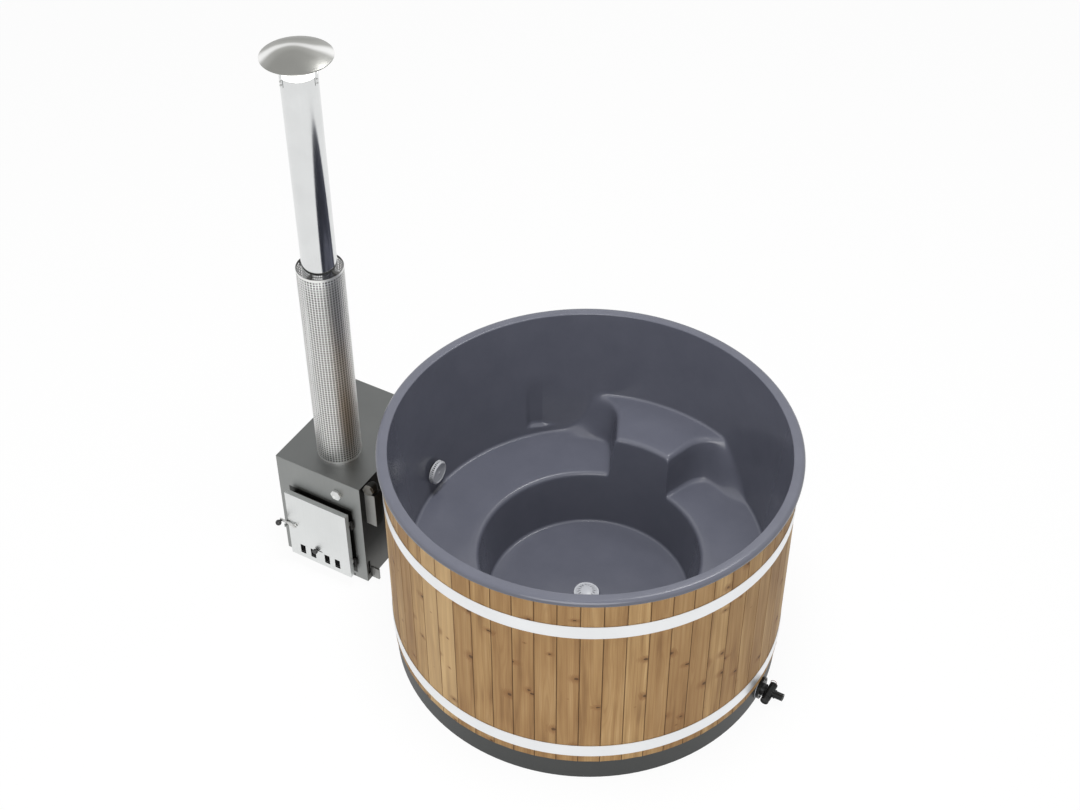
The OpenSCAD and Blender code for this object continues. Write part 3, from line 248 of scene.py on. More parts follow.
def board_wood(name):
    """Softwood boards: rings cut along the log, soft streaks, knots, and a tone for each board."""
    width = math.tau * BOARD_FACE_R / BOARD_COUNT
    f = Finish(name, Specular_IOR_Level=0.2)
    x, y, z = f.split(f.place)
    turn = y.math("ARCTAN2", x) - BOARD_PHASE
    spot = (turn * (BOARD_COUNT / math.tau)).math("FLOORED_MODULO", float(BOARD_COUNT))
    index = spot.math("FLOOR")
    across = (spot - index - 0.5) * width
    chance = f.node("TexWhiteNoise", {"noise_dimensions": "1D"}, {"W": index + 0.37}, out="Color")
    luck, depth, tone = f.split(chance)

    # Knots: one point in each cell of a board, round in plan and drawn out along the grain
    cell_x = spot + index * 3.0
    cell_z = z / KNOT_CELL + luck * 17.0
    nearest, chances = f.node(
        "TexVoronoi",
        {"voronoi_dimensions": "2D"},
        {"Vector": f.join(cell_x, cell_z, 0.0), "Scale": 1.0},
        out=["Position", "Color"],
    )
    knot_x, knot_z, _ = f.split(nearest)
    knot_size, knot_kind, _ = f.split(chances)
    from_x = (cell_x - knot_x) * width
    from_z = (cell_z - knot_z) * KNOT_CELL
    reach = (from_x * from_x * 0.4 + from_z * from_z * (knot_kind * 1.6 + 0.4)).math("SQRT")
    reach = reach + (f.noise(f.place, 130.0, 2.0, 0.6) - 0.5) * 0.006
    radius = (knot_size - KNOT_RARITY).clamped() * 0.018
    present = knot_size.rise(KNOT_RARITY + 0.02, KNOT_RARITY + 0.06)
    core = reach.rise(radius, radius * 0.55) * present
    halo = reach.rise(radius * 3.6 + 0.002, radius) * present

    # Growth rings of a log that leans a little along the board, pushed aside by the knots
    wander = f.noise(f.join(across * 9.0, z * 1.3, index * 5.3), 1.0, 2.0, 0.5)
    pith = across - (luck - 0.5) * 0.10
    sunk = depth * 0.05 + 0.012 + (wander - 0.5) * 0.05
    ring = (pith * pith + sunk * sunk).math("SQRT") + halo * 0.006
    fine = f.noise(f.join(across * 260.0, z * 7.0, index * 2.1), 1.0, 3.0, 0.6)
    late = ((ring + fine * 0.0012) * (math.tau / RING_PITCH)).math("SINE") * 0.5 + 0.5
    late = late * late * late
    streak = f.noise(f.join(across * 34.0, z * 1.6, index * 7.7), 1.0, 3.0, 0.55)
    cloud = f.noise(f.join(across * 7.0, z * 3.0, index * 1.9), 1.0, 2.0, 0.5)

    base = f.ramp(
        streak * 0.7 + cloud * 0.3,
        (0.32, (0.190, 0.098, 0.037)),
        (0.45, (0.362, 0.217, 0.089)),
        (0.55, (0.440, 0.277, 0.120)),
        (0.68, (0.550, 0.374, 0.181)),
    )
    broad = (ring * (math.tau / BROAD_PITCH)).math("SINE").rise(0.1, 1.0)
    base = f.mix(broad * 0.24, base, (0.220, 0.112, 0.040))
    base = f.mix(late * 0.22, base, (0.20, 0.098, 0.040))
    base = f.mix(tone.rise(0.30, 1.0) * 0.42, base, (0.270, 0.146, 0.058))
    base = f.mix(tone.rise(0.45, 0.0) * 0.50, base, (0.620, 0.435, 0.225))
    base = f.mix(halo * 0.58, base, (0.205, 0.092, 0.032))
    base = f.mix(core * (0.70 + knot_kind * 0.2), base, (0.050, 0.023, 0.011))
    edge = (across.math("ABSOLUTE") / (width / 2)).rise(0.93, 0.985)
    base = f.mix(edge * 0.80, base, (0.085, 0.044, 0.020))
    f.set(Base_Color=base, Roughness=0.50 + fine * 0.14 + late * 0.05)
    return f.bump(fine * 0.45 - late * 0.5 - core * 0.6, 0.0004, 0.7).material


def post_wood(name):
    """Plain sawn posts with upright grain."""
    f = Finish(name, Specular_IOR_Level=0.3)
    grain = f.noise(f.stretched((55.0, 55.0, 2.5)), 1.0, 4.0, 0.6, 0.4)
    f.set(
        Base_Color=f.ramp(grain, (0.3, (0.36, 0.22, 0.10)), (0.7, (0.60, 0.43, 0.24))),
        Roughness=0.55 + grain * 0.2,
    )
    return f.bump(grain, 0.0004).material


def moulded(name, low, high, roughness, grain_scale=420.0, bump=0.00012, coat=0.0, gloss=0.5):
    """Moulded plastic: a faint cloudiness in its colour and a fine skin."""
    f = Finish(name, Coat_Weight=coat, Coat_Roughness=0.22, Specular_IOR_Level=gloss)
    cloud = f.noise(f.place, 7.0, 4.0, 0.6)
    skin = f.noise(f.place, grain_scale, 2.0, 0.5)
    f.set(
        Base_Color=f.ramp(cloud, (0.3, low), (0.7, high)),
        Roughness=roughness + (cloud - 0.5) * 0.10 + (skin - 0.5) * 0.06,
    )
    return f.bump(skin, bump, 0.6).material


def metal(name, low, high, roughness, stretch=(30.0, 30.0, 30.0), brushed=0.10, spots=0.0, metallic=1.0):
    """Sheet or tube metal: brush lines along one direction, faint clouds and a little staining."""
    f = Finish(name, Metallic=metallic)
    lines = f.brush(stretch)
    cloud = f.noise(f.place, 5.0, 3.0, 0.55)
    stain = f.noise(f.place, 38.0, 4.0, 0.7).rise(0.58, 0.72) * spots
    tone = f.ramp(lines * 0.4 + cloud * 0.6, (0.3, low), (0.7, high))
    f.set(
        Base_Color=f.mix(stain, tone, tuple(value * 0.55 for value in low)),
        Roughness=roughness + (lines - 0.5) * brushed + stain * 0.2,
    )
    return f.bump(lines, BRUSH_DEPTH, 0.5).material


def from_flue(f):
    """Distance of a point from the chimney's axis, and its height."""
    x, y, z = f.split(f.place)
    return ((x - FLUE_X) * (x - FLUE_X) + (y - FLUE_Y) * (y - FLUE_Y)).math("SQRT"), z


def flue_metal(name):
    """Polished tube with painted shade where the guard covers it; inside it is matt, dark and sooty deep
    down, and pale with a painted glow near its top.
    """
    f = Finish(name)
    radius, z = from_flue(f)
    lines = f.brush(UP_BRUSH)
    cloud = f.noise(f.place, 9.0, 3.0, 0.6)
    # Painted shade: the tube darkens where the perforated guard covers it
    guard_shade = (z + cloud * 0.10).rise(GUARD_TOP + 0.03, GUARD_TOP - 0.06)
    inside = radius.rise(FLUE_R - 0.0004, FLUE_R - 0.0012)
    soot_and_shade = inside * z.rise(FLUE_TOP - 0.10, FLUE_TOP - 0.30)
    base = f.ramp(lines * 0.4 + cloud * 0.6, (0.3, (0.68, 0.69, 0.69)), (0.7, (0.76, 0.77, 0.77)))
    base = f.mix(guard_shade * 0.95, base, (0.110, 0.105, 0.098))
    # Painted light: the inside is pale and glows near its top; deeper down it turns dark and sooty, partly
    # as painted shade
    base = f.mix(inside, base, (0.90, 0.90, 0.89))
    base = f.mix(soot_and_shade, base, (0.018, 0.017, 0.016))
    # The inside's glow is painted light: the tube is no lamp
    f.set(
        Emission_Color=f.mix(inside - soot_and_shade, (0.0, 0.0, 0.0), (0.62, 0.62, 0.61)),
        Emission_Strength=1.0,
        Base_Color=base,
        Metallic=1.0 - inside * 0.8,
        Roughness=0.12 + (lines - 0.5) * 0.05 + guard_shade * 0.35 + inside * 0.4,
    )
    return f.bump(lines, BRUSH_DEPTH, 0.5).material


def guard_metal(name):
    """Bright perforated sheet whose inner side is painted dark as shade."""
    f = Finish(name, Metallic=1.0)
    radius, _ = from_flue(f)
    lines = f.brush(UP_BRUSH)
    cloud = f.noise(f.place, 9.0, 3.0, 0.6)
    inner = radius.rise(GUARD_R - 0.0003, GUARD_R - 0.0010)
    base = f.ramp(lines * 0.3 + cloud * 0.7, (0.3, (0.80, 0.80, 0.79)), (0.7, (0.88, 0.88, 0.87)))
    # Painted shade: the inner side is nearly black
    base = f.mix(inner * 0.92, base, (0.09, 0.088, 0.085))
    f.set(Base_Color=base, Roughness=0.40 + lines * 0.06 + inner * 0.3)
    return f.bump(lines, BRUSH_DEPTH, 0.5).material


def cap_metal(name):
    """Spun sheet: fine turning rings, with painted light: an arched highlight, a softer glow round it and
    one half lighter.
    """
    f = Finish(name, Metallic=1.0)
    radius, _ = from_flue(f)
    x, y, _ = f.split(f.place)
    ring = f.noise(f.join(radius * 900.0, 0.0, 0.0), 1.0, 3.0, 0.6)
    cloud = f.noise(f.place, 8.0, 2.0, 0.5)
    east, north = (x - FLUE_X) / CAP_R, (y - FLUE_Y) / CAP_R
    along = east * math.cos(CAP_PAINTED_SHEEN) + north * math.sin(CAP_PAINTED_SHEEN)
    aside = east * math.sin(CAP_PAINTED_SHEEN) - north * math.cos(CAP_PAINTED_SHEEN)
    # The painted highlight's middle line runs level, dips towards the near side and rises again at the
    # right
    dip = aside.rise(-0.60, 0.25) * aside.rise(1.05, 0.45)
    arch = (along - 0.04 + dip * 0.20 + (cloud - 0.5) * 0.06).math("ABSOLUTE")
    spread = aside * aside * 0.17 + 0.10
    painted_highlight = (arch / spread).rise(1.5, 0.2) * (0.62 + aside.math("ABSOLUTE") * 0.38)
    halo = (arch / spread).rise(4.0, 0.8) * 0.35
    base = f.ramp(ring * 0.5 + cloud * 0.5, (0.3, (0.20, 0.20, 0.185)), (0.7, (0.27, 0.27, 0.25)))
    # Painted light: one half lighter, then the glow round the highlight, then the highlight itself
    base = f.mix(along.rise(0.0, 0.35) * 0.22, base, (0.42, 0.42, 0.41))
    base = f.mix(halo, base, (0.60, 0.60, 0.58))
    base = f.mix(painted_highlight.clamped(), base, (0.88, 0.88, 0.87))
    f.set(Base_Color=base, Roughness=0.30 + ring * 0.06)
    return f.bump(ring, BRUSH_DEPTH, 0.5).material


def past_door(x, z):
    """How far a point lies outside the door's outline: sideways, and at its nearest side."""
    aside = (x - DOOR_MIDDLE[0]).math("ABSOLUTE") - DOOR_HALF[0]
    above = (z - DOOR_MIDDLE[1]).math("ABSOLUTE") - DOOR_HALF[1]
    return aside, aside.math("MAXIMUM", above)


def casing_metal(name):
    """Satin sheet with painted shade: a dark band round the door's edge and a strip below it, a darker top,
    and a side face dark at the top and lighter towards the bottom.
    """
    f = Finish(name, Metallic=1.0)
    x, y, z = f.split(f.place)
    lines = f.brush(CASING_BRUSH)
    cloud = f.noise(f.place, 5.0, 3.0, 0.55)
    tone = lines * 0.4 + cloud * 0.6
    front = y.rise(FRONT_Y + 0.003, FRONT_Y + 0.001)
    aside, past = past_door(x, z)
    side = x.rise(SIDE_X - 0.0015, SIDE_X - 0.0003)
    top = z.rise(CASING_TOP - 0.0012, CASING_TOP - 0.0002)
    base = f.ramp(tone, (0.3, (0.264, 0.272, 0.266)), (0.7, (0.300, 0.308, 0.302)))
    # Painted shade: the top face is darker than the front
    base = f.mix(top * 0.48, base, (0.022, 0.024, 0.025))
    # Painted shade on the strip below the door's lower edge
    under = z.rise(0.052, 0.044) * aside.rise(-0.006, -0.012)
    # Painted shadow: a dark band on the front round the door's edge
    door_shadow = past.rise(0.009, 0.001).math("MAXIMUM", under)
    base = f.mix(front * door_shadow * 0.85, base, (0.016, 0.016, 0.015))
    # Painted shade: the side face towards the tub, dark at the top and lighter towards the bottom
    shade = (z + cloud * 0.03).rise(0.42, 0.10)
    dark = f.ramp(
        shade,
        (0.0, (0.022, 0.022, 0.021)),
        (0.55, (0.040, 0.040, 0.038)),
        (1.0, (0.125, 0.125, 0.118)),
    )
    base = f.mix(side, base, dark)
    f.set(Base_Color=base, Roughness=0.38 + (lines - 0.5) * 0.08 + side * 0.12)
    return f.bump(lines, BRUSH_DEPTH, 0.5).material


def door_metal(name):
    """Brushed door sheet: bright in front, with painted shade: black on its inner side, through its vents
    and round its knuckles.
    """
    f = Finish(name, Metallic=1.0)
    x, y, z = f.split(f.place)
    lines = f.brush(DOOR_BRUSH)
    cloud = f.noise(f.place, 5.0, 3.0, 0.55)
    tone = lines * 0.4 + cloud * 0.6
    aside, past = past_door(x, z)
    # Painted shade: black behind the door's face and beside its edges, where the knuckles are
    behind = y.rise(DOOR_Y + 0.0005, DOOR_Y + 0.0010) * past.rise(-0.0006, -0.0011)
    dark = behind.math("MAXIMUM", aside.rise(0.0002, 0.0008))
    base = f.ramp(tone, (0.3, (0.70, 0.715, 0.71)), (0.7, (0.76, 0.775, 0.77)))
    base = f.mix(dark * 0.97, base, (0.014, 0.014, 0.013))
    f.set(Base_Color=base, Roughness=0.38 + (lines - 0.5) * 0.10 + dark * 0.15)
    return f.bump(lines, BRUSH_DEPTH, 0.5).material


def duct_metal(name):
    """Riser duct: dull grey on its front face, black as painted shade on every other face."""
    f = Finish(name, Metallic=0.8)
    _, y, _ = f.split(f.place)
    cloud = f.noise(f.place, 14.0, 4.0, 0.6)
    front = y.rise(DUCT_Y + 0.0025, DUCT_Y + 0.0008)
    base = f.ramp(cloud, (0.3, (0.28, 0.28, 0.27)), (0.7, (0.34, 0.34, 0.33)))
    # Painted shade: every face but the front is nearly black
    base = f.mix(front, (0.016, 0.016, 0.015), base)
    f.set(Base_Color=base, Roughness=0.46 + cloud * 0.10)
    return f.bump(cloud, 0.0001, 0.4).material


def jacket_metal(name):
    """Welded plate of the water jacket: dark and sooty at its front round the fire mouth, partly as painted
    shade.
    """
    f = Finish(name, Metallic=1.0)
    _, y, _ = f.split(f.place)
    lines = f.noise(f.place, 30.0, 4.0, 0.65)
    # Painted shade and sooting: the plate darkens towards its front, where it shows round the door
    soot_and_shade = (y + lines * 0.01).rise(*JACKET_SOOT_AND_SHADE)
    base = f.ramp(lines, (0.3, (0.38, 0.38, 0.37)), (0.7, (0.50, 0.50, 0.49)))
    base = f.mix(soot_and_shade * 0.97, base, (0.014, 0.013, 0.012))
    f.set(Base_Color=base, Roughness=0.42 + soot_and_shade * 0.25 + (lines - 0.5) * 0.1)
    return f.bump(lines, 0.00005, 0.5).material


def woven(name, low, high, scale):
    """Loose fibres: mineral wool or graphite rope."""
    f = Finish(name)
    fibre = f.noise(f.place, scale, 5.0, 0.75, 1.5)
    f.set(Base_Color=f.ramp(fibre, (0.3, low), (0.7, high)), Roughness=0.85 + fibre * 0.1)
    return f.bump(fibre, 0.0008).material


def foam(name):
    """Pressed foam beads."""
    f = Finish(name)
    beads = f.node("TexVoronoi", inputs={"Vector": f.place, "Scale": 260.0})
    f.set(
        Base_Color=f.ramp(beads, (0.1, (0.78, 0.76, 0.70)), (0.6, (0.60, 0.58, 0.52))),
        Roughness=0.7 + beads * 0.2,
    )
    return f.bump(beads * -1.0, 0.001).material


def cast(name):
    """Rough sooty iron, with patches of ash."""
    f = Finish(name, Metallic=0.6)
    grit = f.noise(f.place, 160.0, 5.0, 0.7)
    ash = f.noise(f.place, 18.0, 4.0, 0.6).rise(0.45, 0.7)
    iron = f.ramp(grit, (0.3, (0.02, 0.02, 0.02)), (0.7, (0.07, 0.065, 0.06)))
    f.set(Base_Color=f.mix(ash * 0.5, iron, (0.20, 0.19, 0.18)), Roughness=0.65 + grit * 0.25)
    return f.bump(grit, 0.0006).material


FINISHES = {
    "liner_shell": moulded(
        "liner_gelcoat",
        (0.086, 0.090, 0.115),
        (0.096, 0.100, 0.127),
        0.23,
        grain_scale=900.0,
        bump=0.00003,
        coat=0.14,
    ),
    "timber_boards": board_wood("board_softwood"),
    "hoop_steel": metal(
        "hoop_bright_steel", (0.79, 0.80, 0.81), (0.86, 0.87, 0.88), 0.34, ROUND_BRUSH, brushed=0.12
    ),
    "zinc_fixings": metal("zinc_plate", (0.50, 0.50, 0.49), (0.66, 0.66, 0.65), 0.34, spots=0.3),
    "base_plastic": moulded(
        "base_dark_plastic",
        (0.020, 0.022, 0.021),
        (0.027, 0.029, 0.028),
        0.50,
        grain_scale=260.0,
        bump=0.0004,
    ),
    "foam": foam("bead_foam"),
    "post_timber": post_wood("post_softwood"),
    "pipe_steel": metal("pipe_stainless", (0.55, 0.56, 0.56), (0.66, 0.67, 0.67), 0.30, spots=0.2),
    "grille_plastic": moulded("grille_grey_plastic", (0.40, 0.41, 0.43), (0.47, 0.48, 0.50), 0.36),
    "drain_plastic": moulded("drain_grey_plastic", (0.44, 0.45, 0.48), (0.52, 0.53, 0.56), 0.30),
    "seal_rubber": moulded(
        "black_rubber",
        (0.016, 0.016, 0.016),
        (0.026, 0.026, 0.026),
        0.62,
        grain_scale=300.0,
        bump=0.0003,
    ),
    "valve_plastic": moulded(
        "valve_black_plastic", (0.008, 0.009, 0.009), (0.014, 0.015, 0.015), 0.24, gloss=0.22
    ),
    "washer_plastic": moulded("washer_pale_plastic", (0.50, 0.53, 0.58), (0.58, 0.61, 0.66), 0.40),
    "loop_wire": metal("coppery_wire", (0.22, 0.075, 0.060), (0.30, 0.11, 0.09), 0.40, metallic=0.6),
    "casing_sheet": casing_metal("casing_satin_sheet"),
    # Black sheet: painted shade on the door's slide, inner plate and hinges; the valve's screws take it too
    "dark_sheet": metal(
        "black_sheet_and_painted_shade", (0.012, 0.012, 0.012), (0.022, 0.021, 0.020), 0.85, metallic=0.2
    ),
    "duct_sheet": duct_metal("duct_sheet_with_painted_shade"),
    "lug_sheet": metal("lug_dull_sheet", (0.28, 0.28, 0.27), (0.35, 0.35, 0.34), 0.50, spots=0.2),
    # A darker copy of the fitting metal: painted shade on the plug in the casing's side
    "plug_shaded": metal(
        "fitting_metal_painted_shade", (0.12, 0.117, 0.105), (0.17, 0.165, 0.15), 0.45, metallic=0.8
    ),
    "jacket_plate": jacket_metal("welded_plate"),
    "cast_grate": cast("sooty_iron"),
    "plug_steel": metal("fitting_pale_metal", (0.70, 0.71, 0.70), (0.80, 0.81, 0.80), 0.42, spots=0.10),
    "flue_steel": flue_metal("flue_polished_steel"),
    "guard_steel": guard_metal("guard_bright_steel"),
    "cap_steel": cap_metal("cap_spun_steel"),
    "door_sheet": door_metal("door_satin_steel"),
    "wool": woven("mineral_wool", (0.42, 0.36, 0.22), (0.66, 0.60, 0.42), 220.0),
    "rope": woven("graphite_rope", (0.020, 0.020, 0.020), (0.060, 0.059, 0.057), 420.0),
    "knob_plastic": moulded("knob_black_plastic", (0.014, 0.014, 0.014), (0.024, 0.024, 0.024), 0.22),
}


# ------------------------------------------------------------------ making pieces

# Points closer than these are one: in a mesh made here, and in a copy of a CAD node
WELD_GAP = 1e-6
MERGE_GAP = 2e-5
FLAT_ANGLE = math.radians(0.5)
BEVEL_SEGMENTS = 2
BEVEL_ANGLE = math.radians(35.0)


def placed(name, mesh, *nodes, finish=None, smooth=40.0):
    """Shows a mesh in the place of CAD nodes, with their body, slot and finish."""
    mesh.shade_smooth()
    mesh.set_sharp_from_angle(angle=math.radians(smooth))
    piece = bpy.data.objects.new(name, mesh)
    bpy.context.scene.collection.objects.link(piece)
    slot = SLOT_OF[nodes[0]]
    mesh.materials.clear()
    mesh.materials.append(FINISHES[finish or slot])
    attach(piece, BODY_OF[nodes[0]])
    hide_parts(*nodes)
    return piece


def finished(bm, name, *nodes, **how):
    """Turns a bmesh into a shown piece."""
    mesh = bpy.data.meshes.new(name)
    bm.to_mesh(mesh)
    bm.free()
    return placed(name, mesh, *nodes, **how)


def rounded(node, width, finish=None):
    """A copy of a CAD node with its sharp edges rounded."""
    bm = bmesh.new()
    bm.from_mesh(NODES[node].data)
    bmesh.ops.remove_doubles(bm, verts=bm.verts, dist=MERGE_GAP)
    bmesh.ops.dissolve_limit(bm, angle_limit=FLAT_ANGLE, verts=bm.verts, edges=bm.edges)
    piece = finished(bm, node + "_rounded", node, finish=finish)
    bevel = piece.modifiers.new("edges", "BEVEL")
    bevel.width = width
    bevel.segments = BEVEL_SEGMENTS
    bevel.limit_method = "ANGLE"
    bevel.angle_limit = BEVEL_ANGLE
    bevel.harden_normals = True
    return piece


def spun(bm, outline, steps, centre=(0.0, 0.0, 0.0)):
    """Turns a chain of (radius, height) points round an upright axis and closes it."""
    verts = [bm.verts.new((r, 0.0, z)) for r, z in outline]
    edges = [bm.edges.new(pair) for pair in zip(verts, verts[1:])]
    bmesh.ops.spin(
        bm,
        geom=verts + edges,
        cent=(0.0, 0.0, 0.0),
        axis=(0.0, 0.0, 1.0),
        dvec=(0.0, 0.0, 0.0),
        angle=math.tau,
        steps=steps,
        use_merge=True,
    )
    bmesh.ops.remove_doubles(bm, verts=bm.verts, dist=WELD_GAP)
    bmesh.ops.recalc_face_normals(bm, faces=bm.faces)
    bmesh.ops.translate(bm, verts=bm.verts, vec=centre)


def arc(centre, radius, start, end, steps):
    """Points of an arc in (radius, height), from one angle in degrees to another."""
    return [
        (
            centre[0] + radius * math.cos(math.radians(start + (end - start) * i / steps)),
            centre[1] + radius * math.sin(math.radians(start + (end - start) * i / steps)),
        )
        for i in range(steps + 1)
    ]


def lerp(a, b, t):
    return a + (b - a) * t


def ease(t):
    t = min(1.0, max(0.0, t))
    return t * t * (3.0 - 2.0 * t)


# ------------------------------------------------------------------ liner

# Rounds of the shelves' edges, of the inner corners and of the step sides' feet
EDGE_ROUND = 0.021
COVE_ROUND = 0.013
FOOT_ROUND = COVE_ROUND * 1.4
ROUND_STEPS = 5
EDGE_STEPS = 6
# Where the rings of the liner's mesh lie, as shares of the way across each surface
FLOOR_SHARE = 0.963
FLOOR_SHARES = (0.0, 0.11, 0.128, 0.134, 0.150, 0.2, 0.35, 0.5, 0.65, 0.8, 0.9)
WELL_SHARES = (0.2, 0.4, 0.6, 0.8)
SHELF_SHARES = (0.12, 0.24, 0.36, 0.46, 0.55, 0.63, 0.70, 0.76, 0.82, 0.87, 0.91, 0.94, 0.965, 0.982,
                0.993)
WALL_SHARES = (0.010, 0.019, 0.027, 0.034, 0.041, 0.048, 0.056, 0.07, 0.09, 0.12, 0.16, 0.2, 0.25, 0.3,
               0.35, 0.4, 0.44, 0.48, 0.53, 0.6, 0.7, 0.8, 0.9)
# The floor dips round the drain
DRAIN_SHARE = 0.13
DRAIN_DIP = 0.003
LIP_EDGE = 0.001
# Each side of the step, as directions in degrees seen from the tub's axis, for its top and its foot: where
# it leaves the footwell, its drift on the way out, the share at which it flares, and its flare at the wall
STEP_SIDES = {
    1: ((104.8, 4.1, 0.55, 9.4), (106.9, 4.0, 0.40, 8.6)),
    -1: ((74.7, -0.9, 0.45, -10.4), (72.5, -1.5, 0.38, -13.0)),
}
SIDE_RUN = 0.020
SIDE_SHARES = (0.25, 0.5, 0.75)
# Upright lines of the liner's mesh: across the step, and as shares of the bench's way round, which are
# close together at both ends and across the wall recess
STEP_LINES = 30
RECESS_LINES = 36
BENCH_LINES = 236
BENCH_SHARES = (
    [0.004, 0.011, 0.021, 0.033]
    + [0.045 + i * 0.00115 for i in range(RECESS_LINES)]
    + [0.088 + i * (0.866 / BENCH_LINES) for i in range(BENCH_LINES + 1)]
    + [0.967, 0.979, 0.989, 0.996]
)
# Wall recess: its direction, half width and heights, how fast it deepens downwards, the tilt of its foot,
# and how far its sides and its foot run out
RECESS_AT = 136.0
RECESS_HALF = 0.052
RECESS_LOW = 0.490
RECESS_HIGH = 0.750
RECESS_SLOPE = 0.066
RECESS_TILT = 0.12
RECESS_SIDE_RUN = 0.034
RECESS_FOOT_RUN = 0.020
# Corners where the step's sides run out into the wall: their directions, and the zone that is softened,
# inwards, to each side in degrees, and up and down; it narrows from run to run
STEP_ENDS = (60.5, 119.2)
SOFT_RUNS = 90
SOFT_NARROWING = 0.35
SOFT_INWARDS = 0.075
SOFT_DEGREES = 9.0
SOFT_HALF = 0.098
SOFT_MORE = 0.06


def basin_radius(z):
    """Radius of the basin's wall, which leans out a little towards the mouth."""
    return lerp(BASIN_LOW_R, MOUTH_R, (z - BENCH_Z) / (RIM_Z - MOUTH_ROUND - BENCH_Z))


def well_radius(z, turn):
    """Footwell radius as seen from the tub's axis, for the footwell stands a little off it."""
    own = lerp(WELL_FLOOR_R, WELL_TOP_R, (z - FLOOR_Z) / (BENCH_Z - FLOOR_Z))
    off = WELL_X * math.sin(turn)
    return WELL_X * math.cos(turn) + math.sqrt(own * own - off * off)


def flare(q, start, degrees):
    """How far a side has turned away near the wall: a quarter ellipse that ends along the wall."""
    share = min(1.0, max(0.0, (q - start) / (1.0 - start)))
    return degrees * (1.0 - math.sqrt(1.0 - share * share))


def side_turn(side, q, level):
    """Direction of the step's side at a share q of the way out; level 0 is its top, 1 its foot."""
    top, foot = (at + drift * q + flare(q, start, turn) for at, drift, start, turn in STEP_SIDES[side])
    return lerp(top, foot, level)


def side_levels():
    """(level, height) pairs across a side: the rounded top edge, the leaning face, the cove."""
    lean = math.atan2(SIDE_RUN, STEP_Z - BENCH_Z)
    bend = math.pi / 2 - lean
    cut_top = EDGE_ROUND * math.tan(bend / 2)
    cut_low = FOOT_ROUND * math.tan(bend / 2)
    levels = []
    for i in range(ROUND_STEPS + 1):
        a = bend * i / ROUND_STEPS
        levels.append((-cut_top + EDGE_ROUND * math.sin(a), STEP_Z - EDGE_ROUND * (1 - math.cos(a))))
    for share in SIDE_SHARES:
        z = lerp(STEP_Z - cut_top, BENCH_Z + cut_low, share)
        levels.append((SIDE_RUN * (STEP_Z - z) / (STEP_Z - BENCH_Z), z))
    for i in range(ROUND_STEPS + 1):
        a = bend * (1 - i / ROUND_STEPS)
        out = SIDE_RUN + cut_low - FOOT_ROUND * math.sin(a)
        levels.append((out, BENCH_Z + FOOT_ROUND * (1 - math.cos(a))))
    return [(out / SIDE_RUN, z) for out, z in levels]


def liner_columns():
    """One (shelf height, direction at q) per upright line of the liner's mesh, once round."""
    levels = side_levels()
    first, last = levels[0][0], levels[-1][0]

    def across_step(share):
        return lambda q: lerp(side_turn(-1, q, first), side_turn(1, q, first), share)

    def along_bench(share):
        return lambda q: lerp(side_turn(1, q, last), 360.0 + side_turn(-1, q, last), share)

    columns = []
    for i in range(1, STEP_LINES):
        share = ease(i / STEP_LINES) * 0.4 + i / STEP_LINES * 0.6
        columns.append((STEP_Z, across_step(share)))
    for level, z in levels:
        columns.append((z, lambda q, b=level: side_turn(1, q, b)))
    for share in BENCH_SHARES:
        columns.append((BENCH_Z, along_bench(share)))
    for level, z in reversed(levels):
        columns.append((z, lambda q, b=level: 360.0 + side_turn(-1, q, b)))
    return columns


def wall_recess(turn, z):
    """How far the wall steps back at a point: an upright pocket that runs out towards its top."""
    aside = (turn - RECESS_AT) * math.pi / 180 * basin_radius(z)
    deep = max(0.0, RECESS_HIGH - z) * RECESS_SLOPE
    sides = ease((RECESS_HALF + 0.006 - abs(aside)) / RECESS_SIDE_RUN)
    return deep * sides * ease((z - RECESS_LOW + 0.004 - aside * RECESS_TILT) / RECESS_FOOT_RUN)


def near_step_end(co, narrow):
    """True for points round the corner where a side of the step runs out into the wall."""
    turn = math.degrees(math.atan2(co.y, co.x))
    aside = min(abs(turn - end) for end in STEP_ENDS)
    tall = abs(co.z - (STEP_Z + BENCH_Z) / 2)
    far_out = co.xy.length > BASIN_LOW_R - SOFT_INWARDS * narrow
    return far_out and aside < SOFT_DEGREES * narrow and tall < SOFT_HALF + SOFT_MORE * narrow


